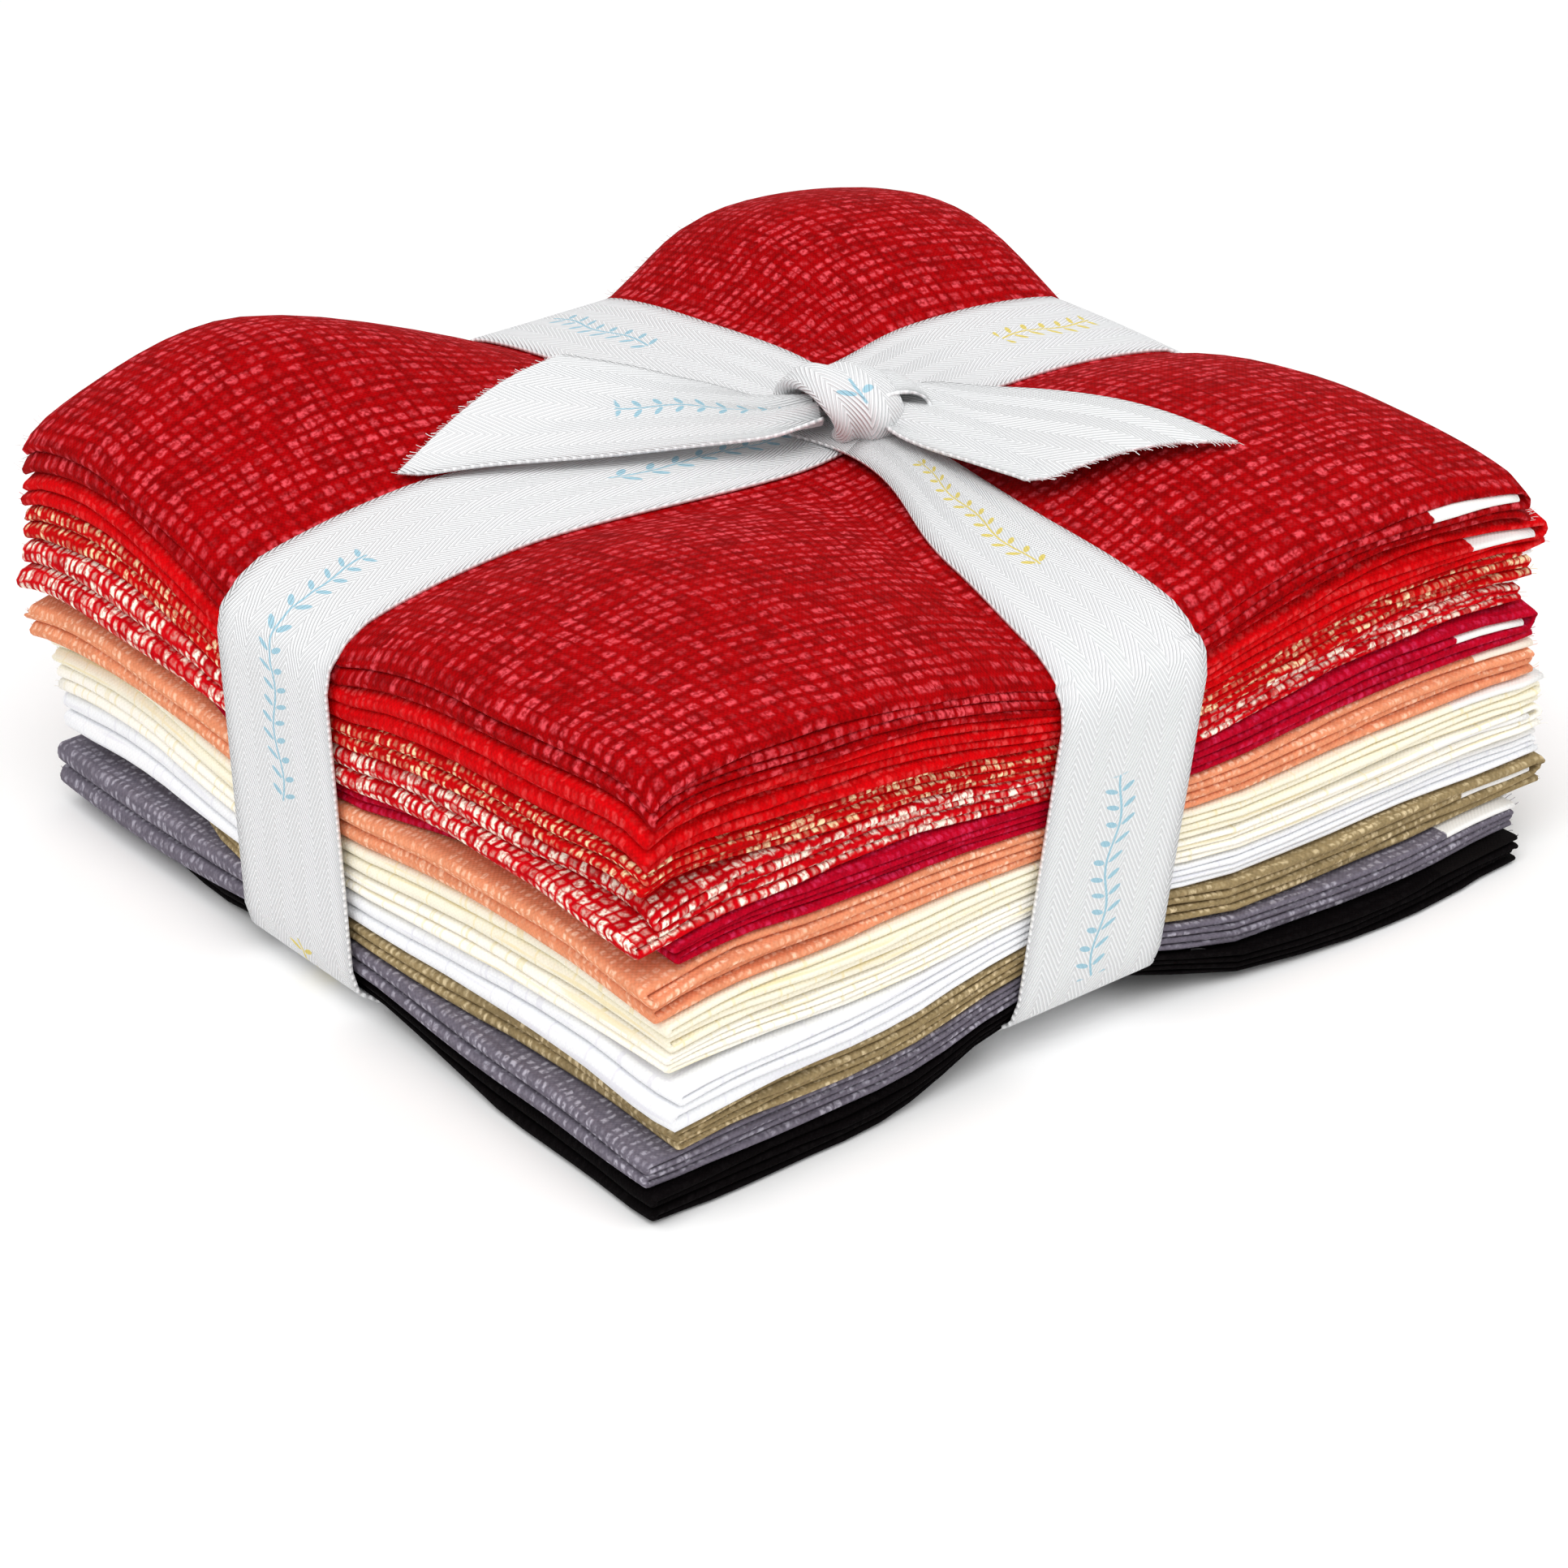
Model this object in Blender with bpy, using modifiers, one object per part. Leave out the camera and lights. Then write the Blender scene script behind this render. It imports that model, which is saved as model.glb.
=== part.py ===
"""A fat quarter bundle: twelve cotton cuts folded flat, stacked, and tied both ways with twill tape.

Every cloth is one back-and-forth section of four panels: two folds show on the -X face, and one fold
with two cut ends on the +X face. The section is made once, flat, in stack coordinates, and is then
pressed into its place: crowned between the strands of the tie, pulled down under them, and pushed a
little out of line. The tape goes round the stack along X and along Y, and crosses under the knot.

The stack's -Y face is its front. Origin: bottom centre of the stack. Sizes are in millimetres and
are scaled to metres when the meshes are written.
"""
import bpy
import bmesh
from math import cos, exp, pi, sin
from typing import NamedTuple
from mathutils import Vector

MM = 0.001

# Driving sizes
STACK_X = 140.0        # a 559 mm (22 in) cut in four panels
STACK_Y = 130.0        # a 457 mm (18 in) cut, about three and a half plies in every panel
STACK_HEIGHT = 52.0    # at the corners
CLOTH_COUNT = 12
PANELS = 4
CLOTH_GAP = 0.36       # between two cloths
PANEL_GAP = 0.16       # between the panels of one cloth
TAPE_WIDTH = 23.0
TAPE_THICKNESS = 1.0
TAPE_GAP = 0.36        # between the tape and what it crosses
TAPE_SIDE_GAP = 1.0    # between the tape and the sides of the stack

# Worked out
HALF_X = STACK_X / 2
HALF_Y = STACK_Y / 2
CLOTH_PITCH = STACK_HEIGHT / CLOTH_COUNT
PANEL_THICKNESS = (CLOTH_PITCH - CLOTH_GAP - (PANELS - 1) * PANEL_GAP) / PANELS
PANEL_PITCH = PANEL_THICKNESS + PANEL_GAP
FOLD_RADIUS = PANEL_PITCH / 2
TAPE_OVER = TAPE_GAP + TAPE_THICKNESS

# Where the tie crosses the stack, before the strands are pulled out of line
STRAND_Y_AT_X = 1.0    # centre line of the strand that runs along Y
STRAND_X_AT_Y = 7.0    # centre line of the strand that runs along X

# The flat section is cut along these lines, and the tape's edges follow four of them
COLUMNS = (-HALF_X, -42.0, STRAND_Y_AT_X - TAPE_WIDTH / 2, STRAND_Y_AT_X + TAPE_WIDTH / 2, 42.0, HALF_X)
ROWS = (-HALF_Y, -40.0, STRAND_X_AT_Y - TAPE_WIDTH / 2, STRAND_X_AT_Y + TAPE_WIDTH / 2, 43.0, HALF_Y)

# How far the strands are pulled out of line, at each column or row, on the top and underneath
STRAND_Y_LEAN_TOP = (-0.5, 2.0, 6.5, 7.0, 8.0, 8.0)
STRAND_Y_LEAN_UNDER = (-6.5, -6.0, -5.0, -4.0, -2.0, 0.0)
STRAND_X_LEAN_TOP = (1.0, -1.0, -8.0, -12.0, -8.0, -5.0)
STRAND_X_LEAN_UNDER = (-2.0, -2.5, -4.0, -4.0, -3.0, -2.0)

# The crowned top and the underside
DOME_HEIGHT = 5.0      # middle of the stack above its edges
DOME_SHAPE = 4         # the higher, the flatter the middle
EDGE_BULGE = 2.5       # between the corners and the tie
TOP_DIP = 3.5          # under the tie
UNDER_DIP = 3.4        # the tie pulls the underside up by this much


class Crown(NamedTuple):
    """A quarter of the top that is puffed up above the dome."""
    x: float
    y: float
    spread: float
    height: float


CROWNS = (
    Crown(x=-46.0, y=48.0, spread=24.0, height=4.5),
    Crown(x=44.0, y=44.0, spread=26.0, height=3.0),
    Crown(x=-36.0, y=-34.0, spread=26.0, height=0.8),
    Crown(x=44.0, y=-36.0, spread=22.0, height=0.8),
)


class FatQuarter(NamedTuple):
    """One folded cut: its colour, and how far each of its sides stands out from the stack."""
    colour: tuple
    left: float
    right: float
    front: float
    back: float


FAT_QUARTERS = (
    FatQuarter(colour=(0.42, 0.010, 0.020), left=0.5, right=0.0, front=0.6, back=0.5),
    FatQuarter(colour=(0.74, 0.012, 0.018), left=1.2, right=1.8, front=-0.6, back=0.4),
    FatQuarter(colour=(0.70, 0.015, 0.012), left=1.0, right=1.0, front=-0.8, back=0.8),
    FatQuarter(colour=(0.72, 0.020, 0.025), left=2.0, right=0.4, front=-1.2, back=1.0),
    FatQuarter(colour=(0.58, 0.008, 0.045), left=-0.4, right=1.0, front=0.0, back=-0.6),
    FatQuarter(colour=(0.83, 0.33, 0.17), left=0.8, right=1.0, front=0.2, back=0.4),
    FatQuarter(colour=(0.90, 0.85, 0.68), left=-0.8, right=1.4, front=0.8, back=-0.4),
    FatQuarter(colour=(0.93, 0.90, 0.82), left=-1.0, right=1.6, front=0.8, back=-0.6),
    FatQuarter(colour=(0.90, 0.90, 0.90), left=-1.8, right=1.2, front=1.4, back=-0.8),
    FatQuarter(colour=(0.36, 0.28, 0.15), left=-1.6, right=2.0, front=1.0, back=-0.6),
    FatQuarter(colour=(0.17, 0.145, 0.18), left=-0.6, right=-0.8, front=0.4, back=-0.4),
    FatQuarter(colour=(0.004, 0.003, 0.003), left=-0.8, right=-0.8, front=0.2, back=-0.6),
)
PINCH = 0.85           # share of a side's stand-out that the tape takes away


class TailStation(NamedTuple):
    """One width of a tail where it lies: its two edges, and how far each is above the top."""
    near_x: float
    near_y: float
    near_lift: float
    far_x: float
    far_y: float
    far_lift: float


LEFT_TAIL = (
    TailStation(near_x=-2.8, near_y=-5.6, near_lift=4.4, far_x=0.8, far_y=3.6, far_lift=6.0),
    TailStation(near_x=-12.0, near_y=0.5, near_lift=3.6, far_x=-2.6, far_y=11.5, far_lift=6.2),
    TailStation(near_x=-22.5, near_y=7.6, near_lift=2.8, far_x=-6.0, far_y=18.5, far_lift=6.2),
    TailStation(near_x=-33.0, near_y=14.8, near_lift=2.4, far_x=-9.4, far_y=25.0, far_lift=5.6),
    TailStation(near_x=-42.6, near_y=21.5, near_lift=1.2, far_x=-11.5, far_y=28.2, far_lift=5.2),
)
RIGHT_TAIL = (
    TailStation(near_x=7.5, near_y=-14.8, near_lift=4.0, far_x=22.8, far_y=-5.0, far_lift=6.4),
    TailStation(near_x=9.0, near_y=-20.0, near_lift=3.6, far_x=28.0, far_y=-12.5, far_lift=5.2),
    TailStation(near_x=11.5, near_y=-27.0, near_lift=3.0, far_x=34.0, far_y=-26.0, far_lift=3.4),
    TailStation(near_x=13.4, near_y=-32.5, near_lift=2.6, far_x=38.4, far_y=-36.5, far_lift=2.2),
    TailStation(near_x=14.2, near_y=-35.0, near_lift=2.2, far_x=40.8, far_y=-41.5, far_lift=1.2),
)



class KnotRing(NamedTuple):
    """One ring of the knot's cage: its place along the knot, and its half width and half height."""
    along: float
    half_width: float
    half_height: float


KNOT_RINGS = (
    KnotRing(along=-8.8, half_width=2.2, half_height=1.4),
    KnotRing(along=-6.8, half_width=4.4, half_height=2.7),
    KnotRing(along=-3.9, half_width=4.6, half_height=3.2),
    KnotRing(along=-2.9, half_width=6.4, half_height=4.5),
    KnotRing(along=2.9, half_width=6.4, half_height=4.5),
    KnotRing(along=3.9, half_width=4.6, half_height=3.2),
    KnotRing(along=6.8, half_width=4.4, half_height=2.7),
    KnotRing(along=8.8, half_width=2.2, half_height=1.4),
)
KNOT_SIDES = 8
KNOT_RISE = 4.6        # middle of the knot above the crossing of the strands
KNOT_TURN = -0.35      # radians about Z
KNOT_GATHER = 0.55     # the front strand's width at the knot, as a share of the tape's width

TAPE_COLOUR = (0.86, 0.87, 0.90)
CLOTH_ROUGHNESS = 0.9


def between(value, stops, amounts):
    """Read a table of amounts at the stops, straight between them and level past its ends."""
    if value <= stops[0]:
        return amounts[0]
    for low, high, first, second in zip(stops, stops[1:], amounts, amounts[1:]):
        if value <= high:
            return first + (second - first) * (value - low) / (high - low)
    return amounts[-1]


def near_strand(value, low, high, reach):
    """1 between low and high, where the tape lies, and down to 0 at the reach beyond them."""
    outside = max(low - value, value - high, 0.0)
    share = min(outside / reach, 1.0)
    return 1.0 - share * share * (3.0 - 2.0 * share)


def valley(x, y):
    """How much of the tie's pull is felt at a place in the stack, 0 to 1."""
    beside_y_strand = near_strand(x, COLUMNS[2], COLUMNS[3], 24.0)
    beside_x_strand = near_strand(y, ROWS[2], ROWS[3], 24.0)
    return 1.0 - (1.0 - beside_y_strand) * (1.0 - beside_x_strand)


def top_height(x, y):
    """Height of the top of the stack."""
    across = min(abs(x) / HALF_X, 1.0)
    along = min(abs(y) / HALF_Y, 1.0)
    pull = valley(x, y)
    dome = DOME_HEIGHT * (1.0 - across ** DOME_SHAPE) * (1.0 - along ** DOME_SHAPE)
    bulge = EDGE_BULGE * (1.0 - pull) * (1.0 - (across * along) ** 8)
    crown = sum(
        quarter.height * exp(-((x - quarter.x) ** 2 + (y - quarter.y) ** 2) / quarter.spread ** 2)
        for quarter in CROWNS
    )
    return STACK_HEIGHT + dome + bulge + crown * (1.0 - pull) - TOP_DIP * pull


def under_height(x, y):
    """Height of the underside: flat on the surface near the corners, lifted where the tape runs."""
    under_y_strand = COLUMNS[2] <= x <= COLUMNS[3]
    under_x_strand = ROWS[2] <= y <= ROWS[3]
    return UNDER_DIP if under_y_strand or under_x_strand else 0.0


TOP_GRID = [[top_height(x, y) for y in ROWS] for x in COLUMNS]
UNDER_GRID = [[under_height(x, y) for y in ROWS] for x in COLUMNS]


def cell(value, stops):
    """The cell of the grid that a value is in, and how far across it, also past the edges."""
    index = sum(1 for stop in stops[1:-1] if value > stop)
    return index, (value - stops[index]) / (stops[index + 1] - stops[index])


def on_grid(grid, x, y):
    """A grid's height at a place, straight between its lines and past its edges."""
    column, across = cell(x, COLUMNS)
    row, along = cell(y, ROWS)
    near = grid[column][row] * (1.0 - across) + grid[column + 1][row] * across
    far = grid[column][row + 1] * (1.0 - across) + grid[column + 1][row + 1] * across
    return near * (1.0 - along) + far * along


def press(point, sides=None):
    """Move a point of the flat stack to its place in the tied one.

    Sides are how far one cloth's left, right, front and back stand out. Above the stack and below
    it, a point keeps its distance to the top or to the underside.
    """
    x, y, z = point
    level = min(max(z / STACK_HEIGHT, 0.0), 1.0)
    pulled_x = between(x, COLUMNS[1:-1], (0.0, 1.0, 1.0, 0.0))
    pulled_y = between(y, ROWS[1:-1], (0.0, 1.0, 1.0, 0.0))
    lean_x = (between(y, ROWS, STRAND_Y_LEAN_TOP) * level
              + between(y, ROWS, STRAND_Y_LEAN_UNDER) * (1.0 - level))
    lean_y = (between(x, COLUMNS, STRAND_X_LEAN_TOP) * level
              + between(x, COLUMNS, STRAND_X_LEAN_UNDER) * (1.0 - level))
    out_x = 0.0
    out_y = 0.0
    if sides:
        free_x = 1.0 - PINCH * between(y, ROWS, (0.0, 0.0, 1.0, 1.0, 0.0, 0.0))
        free_y = 1.0 - PINCH * between(x, COLUMNS, (0.0, 0.0, 1.0, 1.0, 0.0, 0.0))
        out_x = free_x * between(x, COLUMNS, (-sides.left, 0.0, 0.0, 0.0, 0.0, sides.right))
        out_y = free_y * between(y, ROWS, (-sides.front, 0.0, 0.0, 0.0, 0.0, sides.back))
    under = on_grid(UNDER_GRID, x + out_x, y + out_y)
    top = on_grid(TOP_GRID, x + out_x, y + out_y)
    height = under + (top - under) * level + z - level * STACK_HEIGHT
    return Vector((x + out_x + lean_x * pulled_x, y + out_y + lean_y * pulled_y, height))


def place_on_top(x, y, lift):
    """The point of the flat stack that is pressed to a place this far above the top."""
    flat_x, flat_y = x, y
    for _ in range(12):
        reached = press((flat_x, flat_y, STACK_HEIGHT + lift))
        flat_x += x - reached.x
        flat_y += y - reached.y
    return Vector((flat_x, flat_y, STACK_HEIGHT + lift))


def clear_scene():
    """Remove what the scene starts with."""
    for thing in list(bpy.data.objects):
        bpy.data.objects.remove(thing, do_unlink=True)


def make_material(name, colour, roughness):
    """A plain Principled material."""
    material = bpy.data.materials.new(name)
    material.use_nodes = True
    shader = material.node_tree.nodes["Principled BSDF"]
    shader.inputs["Base Color"].default_value = (*colour, 1.0)
    shader.inputs["Roughness"].default_value = roughness
    shader.inputs["Metallic"].default_value = 0.0
    return material


def thicken(sheet, thickness):
    """Turn an open bmesh sheet into a closed one of a thickness, and return it as a mesh."""
    mesh = bpy.data.meshes.new("sheet")
    sheet.to_mesh(mesh)
    sheet.free()
    holder = bpy.data.objects.new("sheet", mesh)
    bpy.context.scene.collection.objects.link(holder)
    wall = holder.modifiers.new("Thickness", 'SOLIDIFY')
    wall.thickness = thickness
    wall.offset = 0.0
    wall.use_even_offset = True
    depsgraph = bpy.context.evaluated_depsgraph_get()
    solid = bpy.data.meshes.new_from_object(holder.evaluated_get(depsgraph))
    bpy.data.objects.remove(holder, do_unlink=True)
    bpy.data.meshes.remove(mesh)
    return solid


def draw_chain(sheet, points, closed=False):
    """Join points by edges, and return the edges."""
    corners = [sheet.verts.new(point) for point in points]
    edges = [sheet.edges.new(pair) for pair in zip(corners, corners[1:])]
    if closed:
        edges.append(sheet.edges.new((corners[-1], corners[0])))
    return edges


def sweep(sheet, edges, steps):
    """Extrude edges by each step in turn."""
    for step in steps:
        swept = bmesh.ops.extrude_edge_only(sheet, edges=edges)["geom"]
        edges = [item for item in swept if isinstance(item, bmesh.types.BMEdge)]
        moved = [item for item in swept if isinstance(item, bmesh.types.BMVert)]
        edges = [edge for edge in edges if all(end in moved for end in edge.verts)]
        bmesh.ops.translate(sheet, verts=moved, vec=step)


def split_one_way(mesh):
    """Split the level faces along one diagonal, so that panels lie on each other without crossing."""
    solid = bmesh.new()
    solid.from_mesh(mesh)
    for face in [face for face in solid.faces if abs(face.normal.z) > 0.5 and len(face.verts) == 4]:
        corners = sorted(face.verts, key=lambda corner: corner.co.x + corner.co.y)
        bmesh.utils.face_split(face, corners[0], corners[-1])
    solid.to_mesh(mesh)
    solid.free()


def folded_section():
    """The flat back-and-forth section that every cloth starts from, its underside at z = 0."""
    turn = HALF_X - PANEL_THICKNESS / 2 - FOLD_RADIUS
    arc = [step * pi / 3 for step in range(1, 3)]
    chain = []
    for panel in range(PANELS):
        height = (PANELS - panel - 1) * PANEL_PITCH + PANEL_THICKNESS / 2
        towards = -1.0 if panel % 2 == 0 else 1.0
        starts_cut = panel == 0
        ends_cut = panel == PANELS - 1
        reach_back = HALF_X if starts_cut else turn
        reach_on = HALF_X if ends_cut else turn
        stops = [-towards * reach_back]
        stops += sorted(COLUMNS[1:-1], reverse=towards < 0)
        stops.append(towards * reach_on)
        chain += [(stop, -HALF_Y, height) for stop in stops]
        if not ends_cut:
            middle = height - FOLD_RADIUS
            chain += [(towards * (turn + FOLD_RADIUS * sin(angle)), -HALF_Y, middle + FOLD_RADIUS * cos(angle))
                      for angle in arc]
    sheet = bmesh.new()
    edges = draw_chain(sheet, chain)
    sweep(sheet, edges, [(0.0, far - near, 0.0) for near, far in zip(ROWS, ROWS[1:])])
    bmesh.ops.recalc_face_normals(sheet, faces=sheet.faces[:])
    mesh = thicken(sheet, PANEL_THICKNESS)
    split_one_way(mesh)
    return mesh


def loop_around(half_length, stops, raised, corner=1.5):
    """Centre line of a strand round the stack, as pairs of a distance along it and a height.

    Raised says how far the strand is lifted off the top, and off the underside, at each stop.
    """
    side = half_length + TAPE_SIDE_GAP + TAPE_THICKNESS / 2
    over = STACK_HEIGHT + TAPE_GAP + TAPE_THICKNESS / 2
    under = -TAPE_GAP - TAPE_THICKNESS / 2
    arc = [step * pi / 6 for step in range(4)]
    line = [(stop, over + lift) for stop, lift in zip(stops, raised)]
    line += [(side - corner + corner * sin(angle), over - corner + corner * cos(angle)) for angle in arc]
    line += [(side, STACK_HEIGHT * share) for share in (0.66, 0.33)]
    line += [(side - corner + corner * cos(angle), under + corner - corner * sin(angle)) for angle in arc]
    line += [(stop, under - lift) for stop, lift in reversed(list(zip(stops, raised)))]
    line += [(-side + corner - corner * sin(angle), under + corner - corner * cos(angle)) for angle in arc]
    line += [(-side, STACK_HEIGHT * share) for share in (0.33, 0.66)]
    line += [(-side + corner - corner * cos(angle), over - corner + corner * sin(angle)) for angle in arc]
    return line


def strand_along_x():
    """The strand round the left and right faces, which lies under the other on the top."""
    stops = COLUMNS[1:-1]
    sheet = bmesh.new()
    near_edge = ROWS[2]
    line = loop_around(HALF_X, stops, (0.0,) * len(stops))
    edges = draw_chain(sheet, [(x, near_edge, z) for x, z in line], closed=True)
    sweep(sheet, edges, [(0.0, TAPE_WIDTH, 0.0)])
    bmesh.ops.recalc_face_normals(sheet, faces=sheet.faces[:])
    return thicken(sheet, TAPE_THICKNESS)


def strand_along_y():
    """The strand round the front and back faces, gathered where it leaves the knot to the front."""
    stops = ROWS[1:-1]
    sheet = bmesh.new()
    near_edge = COLUMNS[2]
    over_crossing = TAPE_OVER
    line = loop_around(HALF_Y, stops, (0.0, over_crossing, over_crossing, 0.0))
    edges = draw_chain(sheet, [(near_edge, y, z) for y, z in line], closed=True)
    sweep(sheet, edges, [(TAPE_WIDTH, 0.0, 0.0)])
    bmesh.ops.recalc_face_normals(sheet, faces=sheet.faces[:])
    mesh = thicken(sheet, TAPE_THICKNESS)
    for corner in mesh.vertices:
        if corner.co.z > STACK_HEIGHT:
            share = between(corner.co.y, ROWS, (1.0, 0.92, KNOT_GATHER, 0.9, 1.0, 1.0))
            corner.co.x = STRAND_Y_AT_X + (corner.co.x - STRAND_Y_AT_X) * share
    return mesh


def tail(stations):
    """A free end of the tape: a strip through its stations, cut off on the slant."""
    sheet = bmesh.new()
    widths = []
    for station in stations:
        near = place_on_top(station.near_x, station.near_y, station.near_lift)
        far = place_on_top(station.far_x, station.far_y, station.far_lift)
        middle = (near + far) / 2
        widths.append([sheet.verts.new(corner) for corner in (near, middle, far)])
    for first, second in zip(widths, widths[1:]):
        for side in range(2):
            sheet.faces.new((first[side], first[side + 1], second[side + 1], second[side]))
    bmesh.ops.recalc_face_normals(sheet, faces=sheet.faces[:])
    return thicken(sheet, TAPE_THICKNESS)


def add_object(name, mesh, material, collection, sides=None):
    """Press a mesh of the flat stack into place, scale it to metres and add it as an object."""
    for corner in mesh.vertices:
        corner.co = press(corner.co, sides) * MM
    mesh.name = name
    mesh.materials.clear()
    mesh.materials.append(material)
    added = bpy.data.objects.new(name, mesh)
    collection.objects.link(added)
    return added


def add_knot(material, collection):
    """The knot: a wrap with a gathered neck on either side, from a cage of rings."""
    cage = bmesh.new()
    rings = []
    for ring in KNOT_RINGS:
        corners = []
        for side in range(KNOT_SIDES):
            angle = 2 * pi * side / KNOT_SIDES
            place = (ring.along, ring.half_width * cos(angle), ring.half_height * sin(angle))
            corners.append(cage.verts.new(Vector(place) * MM))
        rings.append(corners)
    for first, second in zip(rings, rings[1:]):
        for side in range(KNOT_SIDES):
            after = (side + 1) % KNOT_SIDES
            cage.faces.new((first[side], first[after], second[after], second[side]))
    cage.faces.new(rings[0])
    cage.faces.new(rings[-1])
    bmesh.ops.recalc_face_normals(cage, faces=cage.faces[:])
    mesh = bpy.data.meshes.new("tape_knot")
    cage.to_mesh(mesh)
    cage.free()
    mesh.materials.append(material)
    mesh.shade_smooth()
    knot = bpy.data.objects.new("tape_knot", mesh)
    crossing = press((STRAND_Y_AT_X, STRAND_X_AT_Y, STACK_HEIGHT + TAPE_OVER * 2))
    knot.location = (crossing + Vector((0.0, 0.0, KNOT_RISE))) * MM
    knot.rotation_euler.z = KNOT_TURN
    soft = knot.modifiers.new("Soft", 'SUBSURF')
    soft.levels = 1
    soft.render_levels = 1
    collection.objects.link(knot)
    return knot


def build():
    """Make the bundle."""
    clear_scene()
    bundle = bpy.data.collections.new("fat_quarter_bundle")
    bpy.context.scene.collection.children.link(bundle)

    flat = folded_section()
    for number, cut in enumerate(FAT_QUARTERS, start=1):
        name = f"fat_quarter_{number:02d}"
        section = flat.copy()
        lowest = (CLOTH_COUNT - number) * CLOTH_PITCH + CLOTH_GAP * (number != CLOTH_COUNT)
        for corner in section.vertices:
            corner.co.z += lowest
        add_object(name, section, make_material(name, cut.colour, CLOTH_ROUGHNESS), bundle, cut)
    bpy.data.meshes.remove(flat)

    tape = make_material("tape", TAPE_COLOUR, CLOTH_ROUGHNESS)
    add_object("tape_strand_x", strand_along_x(), tape, bundle)
    add_object("tape_strand_y", strand_along_y(), tape, bundle)
    add_object("tape_tail_left", tail(LEFT_TAIL), tape, bundle)
    add_object("tape_tail_right", tail(RIGHT_TAIL), tape, bundle)
    add_knot(tape, bundle)


build()
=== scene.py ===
"""A tied bundle of twelve folded fat quarters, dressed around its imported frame.

Every cloth is one real sheet, 559 x 457 mm, folded back and forth in four panels of three and a
half plies. It is folded in the coordinates of a straight stack, and then pressed into the crowned
and pinched shape that the tie gives the stack. Lengths are in millimetres until a mesh is written.
"""
import logging
import math
from dataclasses import dataclass, field
from enum import Enum

import bpy
import numpy as np
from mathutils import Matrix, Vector


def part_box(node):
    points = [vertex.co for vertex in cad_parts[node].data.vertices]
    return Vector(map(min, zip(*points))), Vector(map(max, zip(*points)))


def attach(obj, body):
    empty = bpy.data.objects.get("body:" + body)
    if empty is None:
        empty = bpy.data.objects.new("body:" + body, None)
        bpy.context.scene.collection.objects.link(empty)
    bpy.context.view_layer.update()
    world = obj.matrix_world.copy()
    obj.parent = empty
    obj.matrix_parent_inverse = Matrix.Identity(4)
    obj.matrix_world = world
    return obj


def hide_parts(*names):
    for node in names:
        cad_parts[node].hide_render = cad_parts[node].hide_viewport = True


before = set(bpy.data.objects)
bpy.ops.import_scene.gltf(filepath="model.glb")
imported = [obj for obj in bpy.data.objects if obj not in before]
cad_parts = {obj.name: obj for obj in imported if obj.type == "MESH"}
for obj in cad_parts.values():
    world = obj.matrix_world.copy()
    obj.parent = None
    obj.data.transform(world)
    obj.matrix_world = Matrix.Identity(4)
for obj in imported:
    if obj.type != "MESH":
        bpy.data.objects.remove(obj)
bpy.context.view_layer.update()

LOG = logging.getLogger("bundle")
MM = 0.001
BODY = "root"
Colour = tuple[float, float, float]

# first seeds of what is random; a cloth's number is added to all but the last
ROOM_SEED = 70
SLIDE_SEED = 200
FINE_SLIDE_SEED = 300
THREAD_SEED = 500
TAIL_THREAD_SEED = 31


def dyed(red: int, green: int, blue: int) -> Colour:
    """Mix a dye.

    Args:
        red: Its display values, 0 to 255.
        green: The second of them.
        blue: The third.

    Returns:
        Its linear colour.
    """
    def channel(value: int) -> float:
        """Return one linear channel."""
        share = value / 255
        return share / 12.92 if share <= 0.04045 else ((share + 0.055) / 1.055) ** 2.4
    return channel(red), channel(green), channel(blue)


def ease(share: np.ndarray) -> np.ndarray:
    """Return a smooth step from 0 to 1 as the share goes from 0 to 1."""
    share = np.clip(share, 0.0, 1.0)
    return share * share * (3.0 - 2.0 * share)


def bell(distance: np.ndarray, spread: float) -> np.ndarray:
    """Return a bell curve of a distance."""
    return np.exp(-(distance / spread) ** 2)


def mound(x: np.ndarray, y: np.ndarray, top: tuple[float, float], spread: float) -> np.ndarray:
    """Return a round mound that is 1 high at its top."""
    return np.exp(-((x - top[0]) ** 2 + (y - top[1]) ** 2) / spread ** 2)


@dataclass(frozen=True)
class Onset:
    """A stretch over which something grows smoothly from nothing to its whole size."""

    start: float
    width: float

    def __call__(self, place: np.ndarray) -> np.ndarray:
        """Return the share that is reached at a place."""
        return ease((place - self.start) / self.width)


@dataclass(frozen=True)
class SmoothTable:
    """A table of amounts at rising stops, read along a smooth curve that never overshoots."""

    stops: tuple[float, ...]
    amounts: tuple[float, ...]

    def __call__(self, value: np.ndarray) -> np.ndarray:
        """Read the table.

        Args:
            value: Where to read it. Beyond the first and last stop it stays level.

        Returns:
            The amounts there.
        """
        stops, amounts = np.asarray(self.stops, float), np.asarray(self.amounts, float)
        steps = np.diff(stops)
        rises = np.diff(amounts) / steps
        slopes = np.zeros_like(amounts)
        same_way = rises[:-1] * rises[1:] > 0
        both = np.where(same_way, rises[:-1] + rises[1:], 1.0)
        slopes[1:-1] = np.where(same_way, 2 * rises[:-1] * rises[1:] / both, 0.0)
        value = np.clip(value, stops[0], stops[-1])
        index = np.clip(np.searchsorted(stops, value, side="right") - 1, 0, len(steps) - 1)
        share = (value - stops[index]) / steps[index]
        low, high = amounts[index], amounts[index + 1]
        pull_low, pull_high = slopes[index] * steps[index], slopes[index + 1] * steps[index]
        return (low + share * (pull_low + share * (3 * (high - low) - 2 * pull_low - pull_high
                + share * (pull_low + pull_high - 2 * (high - low)))))


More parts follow.
